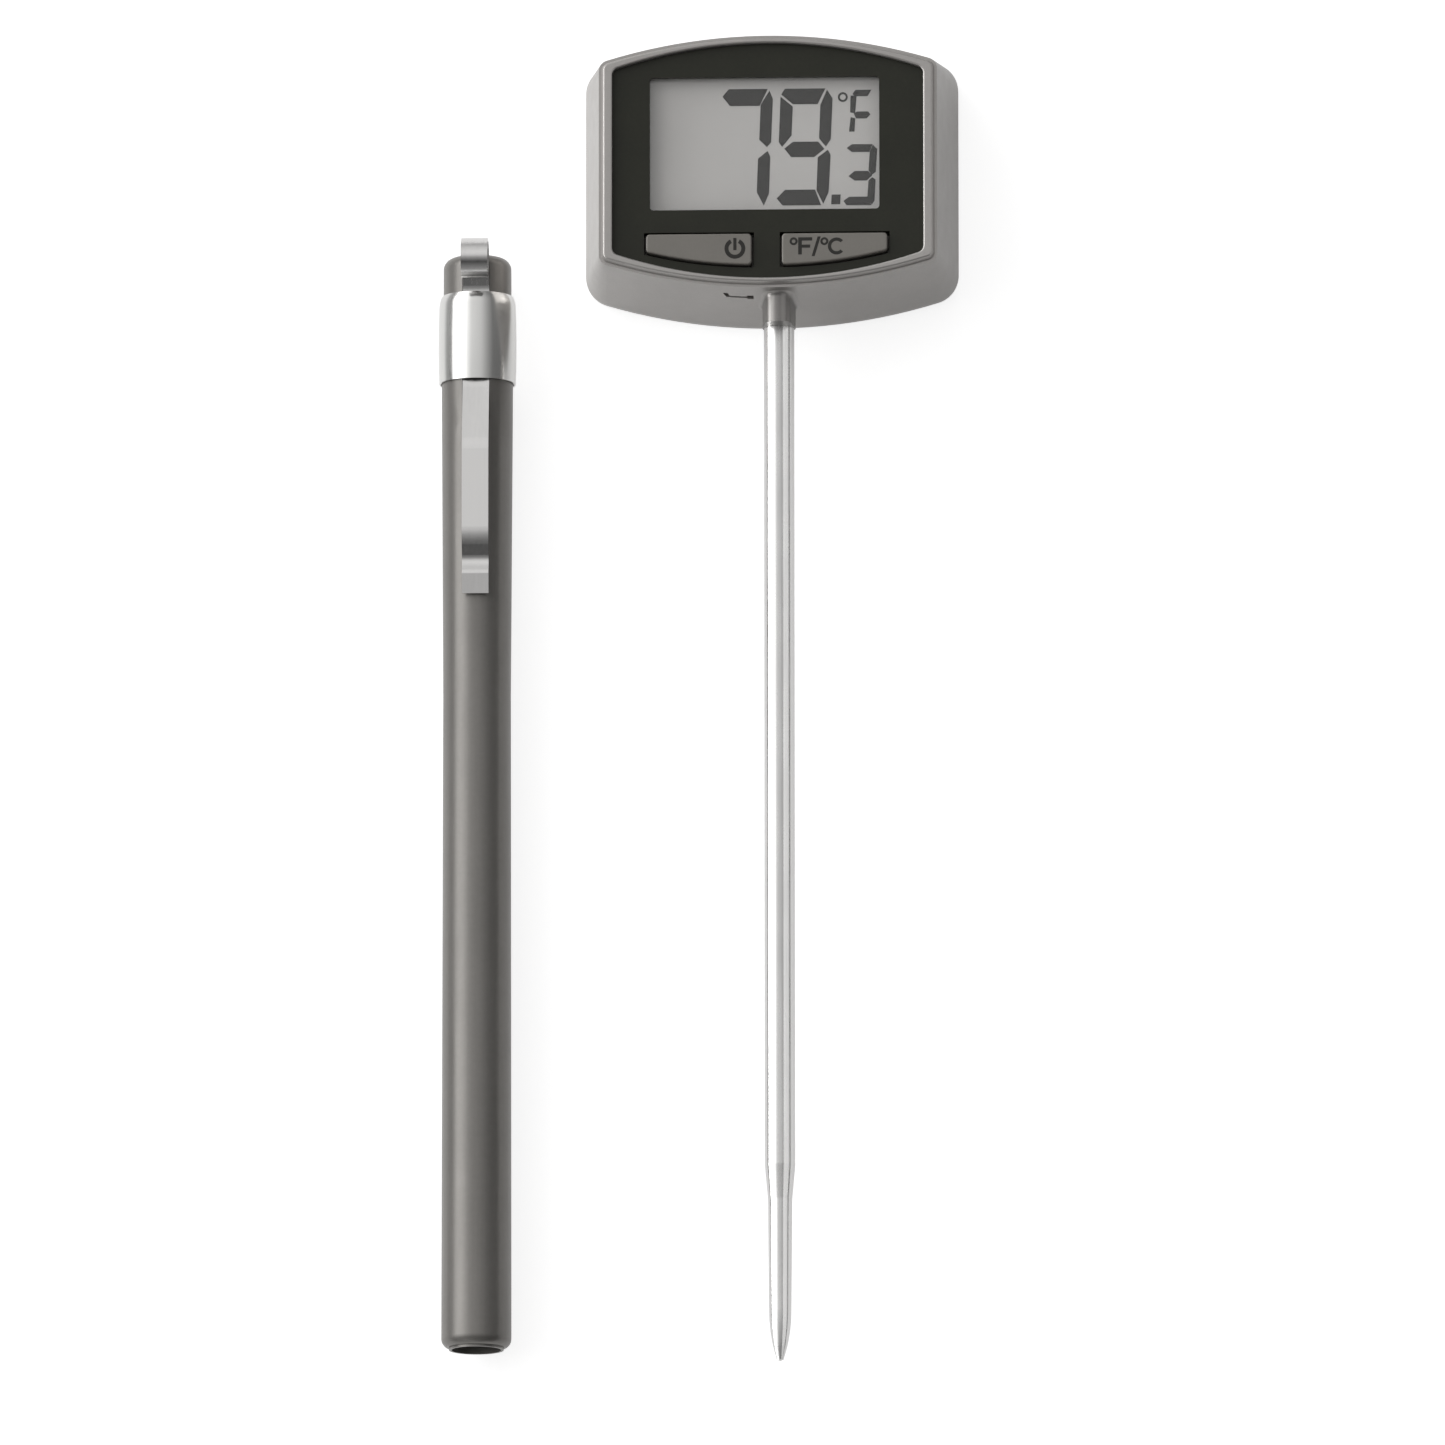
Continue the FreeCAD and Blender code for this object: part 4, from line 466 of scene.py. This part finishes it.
# Outlines of the lit segments, in millimetres from the lower left corner of the display
# opening: a large 7 and 9, a point, and a small 3 under a degree sign and an F.
SEGMENTS = [
    [(10.37, 16.46), (15.44, 16.46), (14.40, 14.25), (10.54, 14.25), (9.57, 15.48)],
    [(15.71, 16.18), (16.13, 15.13), (15.89, 9.32), (15.37, 8.72), (14.40, 9.67), (14.58, 14.35)],
    [(15.44, 8.09), (15.78, 7.38), (15.61, 2.46), (14.95, 0.87), (14.06, 2.63), (14.23, 7.10)],
    [(17.78, 16.46), (23.03, 16.46), (22.03, 14.42), (18.82, 14.42), (17.30, 15.73)],
    [(17.20, 15.37), (18.75, 14.07), (18.58, 10.20), (17.37, 8.72), (16.96, 9.32)],
    [(23.30, 16.25), (23.99, 15.13), (23.75, 9.67), (23.13, 8.72), (22.27, 9.78), (22.44, 14.25)],
    [(18.82, 9.32), (22.09, 9.32), (22.89, 8.37), (21.58, 7.31), (18.58, 7.31), (17.71, 8.44)],
    [(23.37, 8.19), (23.72, 7.56), (23.47, 2.63), (22.78, 1.05), (21.92, 2.81), (22.09, 7.21)],
    [(17.78, 2.88), (21.68, 2.88), (22.44, 0.84), (17.44, 0.84), (16.68, 1.75)],
    [(23.92, 2.18), (25.03, 2.18), (24.96, 0.94), (23.85, 0.94)],
    [(25.99, 8.44), (26.58, 8.86), (29.16, 8.86), (28.82, 7.98), (26.58, 7.98)],
    [(29.34, 8.72), (29.79, 8.26), (29.61, 5.27), (29.16, 4.92), (28.82, 5.45), (28.99, 7.91)],
    [(26.23, 4.67), (26.92, 5.27), (28.65, 5.27), (29.10, 4.74), (28.47, 4.15), (26.92, 4.15)],
    [(29.23, 4.39), (29.58, 4.15), (29.44, 1.40), (29.16, 0.98), (28.65, 1.75), (28.82, 4.04)],
    [(25.54, 1.33), (26.23, 1.82), (28.54, 1.82), (28.99, 0.84), (25.89, 0.84)],
    [(26.75, 15.73), (27.10, 16.18), (28.99, 16.18), (28.58, 15.48), (26.92, 15.48)],
    [(26.47, 15.41), (27.10, 15.41), (26.92, 13.19), (26.41, 13.30)],
    [(26.92, 13.02), (27.27, 13.26), (28.65, 13.26), (28.89, 12.95), (28.47, 12.49),
     (27.16, 12.49)],
    [(26.47, 12.49), (26.92, 12.38), (26.82, 10.73), (26.27, 10.73)],
]
# From this outline on they are the small 3 and the F. Each outline is spread by a margin.
FIRST_SMALL = 10
LARGE_SPREAD = 0.035
SMALL_SPREAD = 0.085
# A mitre at a sharp corner reaches no further than this share allows.
SHARPEST_MITRE = 0.5
DEGREE_CENTRE = (25.37, 15.30)
DEGREE_RADII = (0.66, 0.38)
# The window laps behind the display opening by this much on each side.
WINDOW_LAP = 0.8
# Foot and top of the segments' film above the cell's front.
SEGMENT_FILM = (0.01, 0.03)


def grown(outline, margin):
    """The outline with its corners moved out, so that each side lies further out by margin."""
    count = len(outline)
    area = sum(x * outline[(i + 1) % count][1] - outline[(i + 1) % count][0] * y
               for i, (x, y) in enumerate(outline))
    side = 1.0 if area > 0 else -1.0
    moved = []
    for i in range(count):
        before, here, after = (Vector(outline[k % count]) for k in (i - 1, i, i + 1))
        first, second = (here - before).normalized(), (after - here).normalized()
        out_first = Vector((first.y, -first.x)) * side
        out_second = Vector((second.y, -second.x)) * side
        mitre = (out_first + out_second).normalized()
        moved.append(here + mitre * (margin / max(SHARPEST_MITRE, mitre.dot(out_first))))
    return [(p.x, p.y) for p in moved]


def display_reading():
    """The lit segments, a film on the cell's front glass under the window."""
    window_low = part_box("display_window")[0]
    cell_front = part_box("lcd_glass")[1].z
    left, foot = window_low.x + WINDOW_LAP * MM, window_low.y + WINDOW_LAP * MM
    low, high = (cell_front + level * MM for level in SEGMENT_FILM)
    bm = bmesh.new()
    for index, outline in enumerate(SEGMENTS):
        margin = SMALL_SPREAD if index >= FIRST_SMALL else LARGE_SPREAD
        plate(bm, [(left + x * MM, foot + y * MM) for x, y in grown(outline, margin)], low, high)
    centre = (left + DEGREE_CENTRE[0] * MM, foot + DEGREE_CENTRE[1] * MM)
    outer, inner = (radius * MM for radius in DEGREE_RADII)
    ring(bm, centre, outer, inner, low, high)
    printed_piece("display_reading", bm, lcd_ink(), "thermometer")


# ---------------------------------------------------------------- marks on the buttons

# Everything here is in millimetres. The ink stands as far out of the button's top as it sinks in.
INK_FILM = 0.012
FLAT_TOP = 0.005
# The power mark, from the upper right corner of its button: a broken ring, and a bar in its gap
# given by its half width, foot and head.
POWER_CENTRE = (-1.98, -1.82)
POWER_RADII = (1.37, 0.84)
POWER_BAR = (0.21, -0.22, 1.42)
# The unit mark, to the right of and below a point off the upper left corner of its button.
UNIT_CORNER = (-0.22, 0.22)
UNIT_F = [(2.18, 0.62), (4.02, 0.62), (4.02, 1.06), (2.66, 1.06), (2.66, 1.60), (3.76, 1.60),
          (3.76, 2.02), (2.66, 2.02), (2.66, 2.92), (2.18, 2.92)]
UNIT_STROKE = [(4.74, 0.52), (5.14, 0.52), (4.34, 3.16), (3.94, 3.16)]
UNIT_DEGREES = [(1.58, 1.14), (5.62, 1.16)]
UNIT_DEGREE_RADII = (0.53, 0.24)
UNIT_C = (7.22, 1.82)
UNIT_C_RADII = (1.14, 0.70)


def crown_corner(node, side, end):
    """A corner of a node's flat top; side and end pick the least or the most along X and Y."""
    points = [v.co for v in nodes[node].data.vertices]
    top = max(p.z for p in points)
    face = [p for p in points if p.z > top - FLAT_TOP * MM]
    return side(p.x for p in face), end(p.y for p in face), top


def power_mark():
    """Broken ring with a bar in its gap, near the power button's inner end."""
    right, head, top = crown_corner("power_button", max, max)
    centre = (right + POWER_CENTRE[0] * MM, head + POWER_CENTRE[1] * MM)
    low, high = top - INK_FILM * MM, top + INK_FILM * MM
    outer, inner = (radius * MM for radius in POWER_RADII)
    bm = bmesh.new()
    ring(bm, centre, outer, inner, low, high, start=118.0, turn=304.0, steps=48)
    half, bar_foot, bar_head = (size * MM for size in POWER_BAR)
    bar = [(-half, bar_foot), (half, bar_foot), (half, bar_head), (-half, bar_head)]
    plate(bm, [(centre[0] + x, centre[1] + y) for x, y in bar], low, high)
    printed_piece("power_mark", bm, print_ink(), "power_button_body")


def unit_mark():
    """The unit letters with their degree signs and a stroke between them."""
    left, head, top = crown_corner("unit_button", min, max)
    low, high = top - INK_FILM * MM, top + INK_FILM * MM

    def at(x, y):
        return left + UNIT_CORNER[0] * MM + x * MM, head + UNIT_CORNER[1] * MM - y * MM

    bm = bmesh.new()
    for outline in (UNIT_F, UNIT_STROKE):
        plate(bm, [at(x, y) for x, y in reversed(outline)], low, high)
    outer, inner = (radius * MM for radius in UNIT_DEGREE_RADII)
    for x, y in UNIT_DEGREES:
        ring(bm, at(x, y), outer, inner, low, high)
    outer, inner = (radius * MM for radius in UNIT_C_RADII)
    ring(bm, at(*UNIT_C), outer, inner, low, high, start=42.0, turn=276.0, steps=44)
    printed_piece("unit_mark", bm, print_ink(), "unit_button_body")


# ---------------------------------------------------------------- camera

CAMERA_TILT = math.radians(10.573)
CAMERA_YAW = math.radians(2.295)
CAMERA_ROLL = math.radians(-0.462)
CAMERA_DISTANCE = 3.2
CAMERA_CLIP = (0.05, 60.0)
CAMERA_TARGET = Vector((-6.392, -73.25, 8.0)) * MM
# What the picture takes in across, in metres at the target's distance.
VIEW_WIDTH = 0.18972
SENSOR = 36.0


def studio_camera():
    """A long lens almost straight above, tilted a little towards the stem's point."""
    data = bpy.data.cameras.new("studio_camera")
    data.sensor_width = SENSOR
    data.lens = SENSOR * CAMERA_DISTANCE / VIEW_WIDTH
    data.clip_start, data.clip_end = CAMERA_CLIP
    camera = bpy.data.objects.new("studio_camera", data)
    scene.collection.objects.link(camera)
    tilt, yaw, roll = CAMERA_TILT, CAMERA_YAW, CAMERA_ROLL
    back = Vector((math.sin(yaw) * math.cos(tilt), -math.cos(yaw) * math.sin(tilt),
                   math.cos(yaw) * math.cos(tilt)))
    across = Vector((0.0, math.cos(tilt), math.sin(tilt))).cross(back).normalized()
    up = back.cross(across)
    right = across * math.cos(roll) + up * math.sin(roll)
    above = up * math.cos(roll) - across * math.sin(roll)
    place = Matrix((right, above, back)).transposed().to_4x4()
    place.translation = CAMERA_TARGET + back * CAMERA_DISTANCE
    camera.matrix_world = place
    scene.camera = camera


# ---------------------------------------------------------------- studio

# Brightness of the studio by its angle round the stem's line: 0 is straight up, +90 the right.
STUDIO_PEAK = 3.0
STUDIO_BANDS = [
    (-180, 0.55), (-116, 0.60), (-110, 0.24), (-78, 0.24), (-72, 2.70), (-46, 2.55), (-27, 1.05),
    (-16, 0.76), (12, 0.66), (28, 0.42), (48, 0.17), (100, 0.14), (112, 0.36), (180, 0.50),
]
# How that changes from the side of the point (-1) to the top of the picture (+1).
LENGTHWISE_PEAK = 1.15
STUDIO_LENGTHWISE = [
    (-1.0, 0.36), (-0.72, 0.20), (-0.52, 0.07), (-0.34, 0.24), (-0.12, 0.46), (0.02, 0.74),
    (0.16, 1.05), (0.45, 1.14), (0.80, 0.90), (1.0, 0.52),
]


def studio_world():
    """A soft box up on the left, a pale ceiling and a dark right side; the lens sees white."""
    world = bpy.data.worlds.new("studio_world")
    scene.world = world
    world.use_nodes = True
    s = Shader(world.node_tree)
    direction = s.node("ShaderNodeTexCoord").outputs["Generated"]
    x, y, z = (s.axis(direction, name) for name in "XYZ")
    place = s.spread(s.math("ARCTAN2", x, z), -math.pi, math.pi, 0.0, 1.0)
    bands = s.ramp(place, [((angle + 180) / 360, level / STUDIO_PEAK)
                           for angle, level in STUDIO_BANDS])
    lengthwise = s.ramp(s.spread(y, -1.0, 1.0, 0.0, 1.0),
                        [((side + 1.0) / 2.0, level / LENGTHWISE_PEAK)
                         for side, level in STUDIO_LENGTHWISE])
    level = s.math("MULTIPLY", s.math("MULTIPLY", bands, lengthwise),
                   STUDIO_PEAK * LENGTHWISE_PEAK)
    path = s.node("ShaderNodeLightPath")
    seen = s.math("MAXIMUM", path.outputs["Is Camera Ray"], path.outputs["Is Transmission Ray"])
    studio = s.node("ShaderNodeBackground", {"Color": opaque(1.0), "Strength": level})
    white = s.node("ShaderNodeBackground", {"Color": opaque(1.0), "Strength": 1.0})
    both = s.node("ShaderNodeMixShader", {0: seen, 1: studio.outputs[0], 2: white.outputs[0]})
    s.finish("ShaderNodeOutputWorld", both)


# The table lies this far under the object, in millimetres, and reaches this far out, in metres.
FLOOR_LEVEL = -0.3
FLOOR_REACH = 6.0
FLOOR_TONE = (0.595, 0.605)
# What the lens sees on top of the lit table, which brings it up to white.
FLOOR_LIFT = 0.80
# The table's own glow in reflections, by millimetres along X: it ends past the sheath.
GLOW = [(-80.0, 0.0), (-61.0, 0.54), (-27.0, 0.54), (-18.0, 0.38), (12.0, 0.33)]


def table_cloth():
    """Pale matte cloth, which looks white to the lens and glows softly in reflections."""
    m, s = new_material("studio_table")
    p = s.object_point()
    tone = s.wander(s.noise(p, 40.0), *FLOOR_TONE)
    cloth = s.node("ShaderNodeBsdfDiffuse", {"Color": s.as_grey(tone)})
    path = s.node("ShaderNodeLightPath")
    lens = s.math("MAXIMUM", path.outputs["Is Camera Ray"], path.outputs["Is Transmission Ray"])
    left, right = GLOW[0][0] * MM, GLOW[-1][0] * MM
    pool = s.ramp(s.spread(s.axis(p, "X"), left, right, 0.0, 1.0),
                  [((x * MM - left) / (right - left), level) for x, level in GLOW])
    lift = s.math("ADD", s.math("MULTIPLY", lens, FLOOR_LIFT),
                  s.math("MULTIPLY", path.outputs["Is Glossy Ray"], pool))
    glow = s.node("ShaderNodeEmission", {"Color": opaque(1.0), "Strength": lift})
    both = s.node("ShaderNodeAddShader", {0: cloth.outputs[0], 1: glow.outputs[0]})
    s.finish("ShaderNodeOutputMaterial", both)
    return m


def studio_floor():
    """A wide pale table that keeps the object's soft shadow."""
    bm = bmesh.new()
    corners = [bm.verts.new((x * FLOOR_REACH, y * FLOOR_REACH, FLOOR_LEVEL * MM))
               for x, y in ((-1, -1), (1, -1), (1, 1), (-1, 1))]
    bm.faces.new(corners)
    table = mesh_object("studio_table", bm, table_cloth())


# Soft boxes on the probe: name, place, size across and along in metres, and radiance. One is low
# on the left for the head's side, the other broad and dim on the right.
PROBE_MIDDLE = (0.0, -0.07, 0.012)
PROBE_LAMPS = [
    ("probe_left", (-0.9, -0.07, 0.155), (0.31, 1.6), 4.8),
    ("probe_right", (0.75, -0.07, 0.55), (0.80, 1.6), 0.65),
]
SHEATH_NODES = ("sheath_tube", "clip_band", "pocket_clip")


def probe_lamp(name, place, size, radiance, lit):
    """A soft box that lights one collection only, aimed at the probe's middle."""
    data = bpy.data.lights.new(name, "AREA")
    data.shape = "RECTANGLE"
    data.size, data.size_y = size
    data.energy = radiance * math.pi * size[0] * size[1]
    lamp = bpy.data.objects.new(name, data)
    back = (Vector(place) - Vector(PROBE_MIDDLE)).normalized()
    along = Vector((0.0, 1.0, 0.0))
    across = along.cross(back).normalized()
    turn = Matrix((across, back.cross(across), back)).transposed().to_4x4()
    turn.translation = place
    lamp.matrix_world = turn
    scene.collection.objects.link(lamp)
    lamp.light_linking.receiver_collection = lit
    lamp.light_linking.blocker_collection = lit


def probe_lamps():
    """The soft boxes that light the probe and leave out the sheath beside it."""
    lit = bpy.data.collections.new("probe_lit")
    for row in frame["record"]["subparts"]:
        if row["node"] not in SHEATH_NODES:
            lit.objects.link(nodes[row["node"]])
    for name, place, size, radiance in PROBE_LAMPS:
        probe_lamp(name, place, size, radiance, lit)


# ---------------------------------------------------------------- build

scene.view_settings.view_transform = "Standard"
studio_camera()
studio_world()
studio_floor()
probe_lamps()
dress_nodes()
display_reading()
power_mark()
unit_mark()
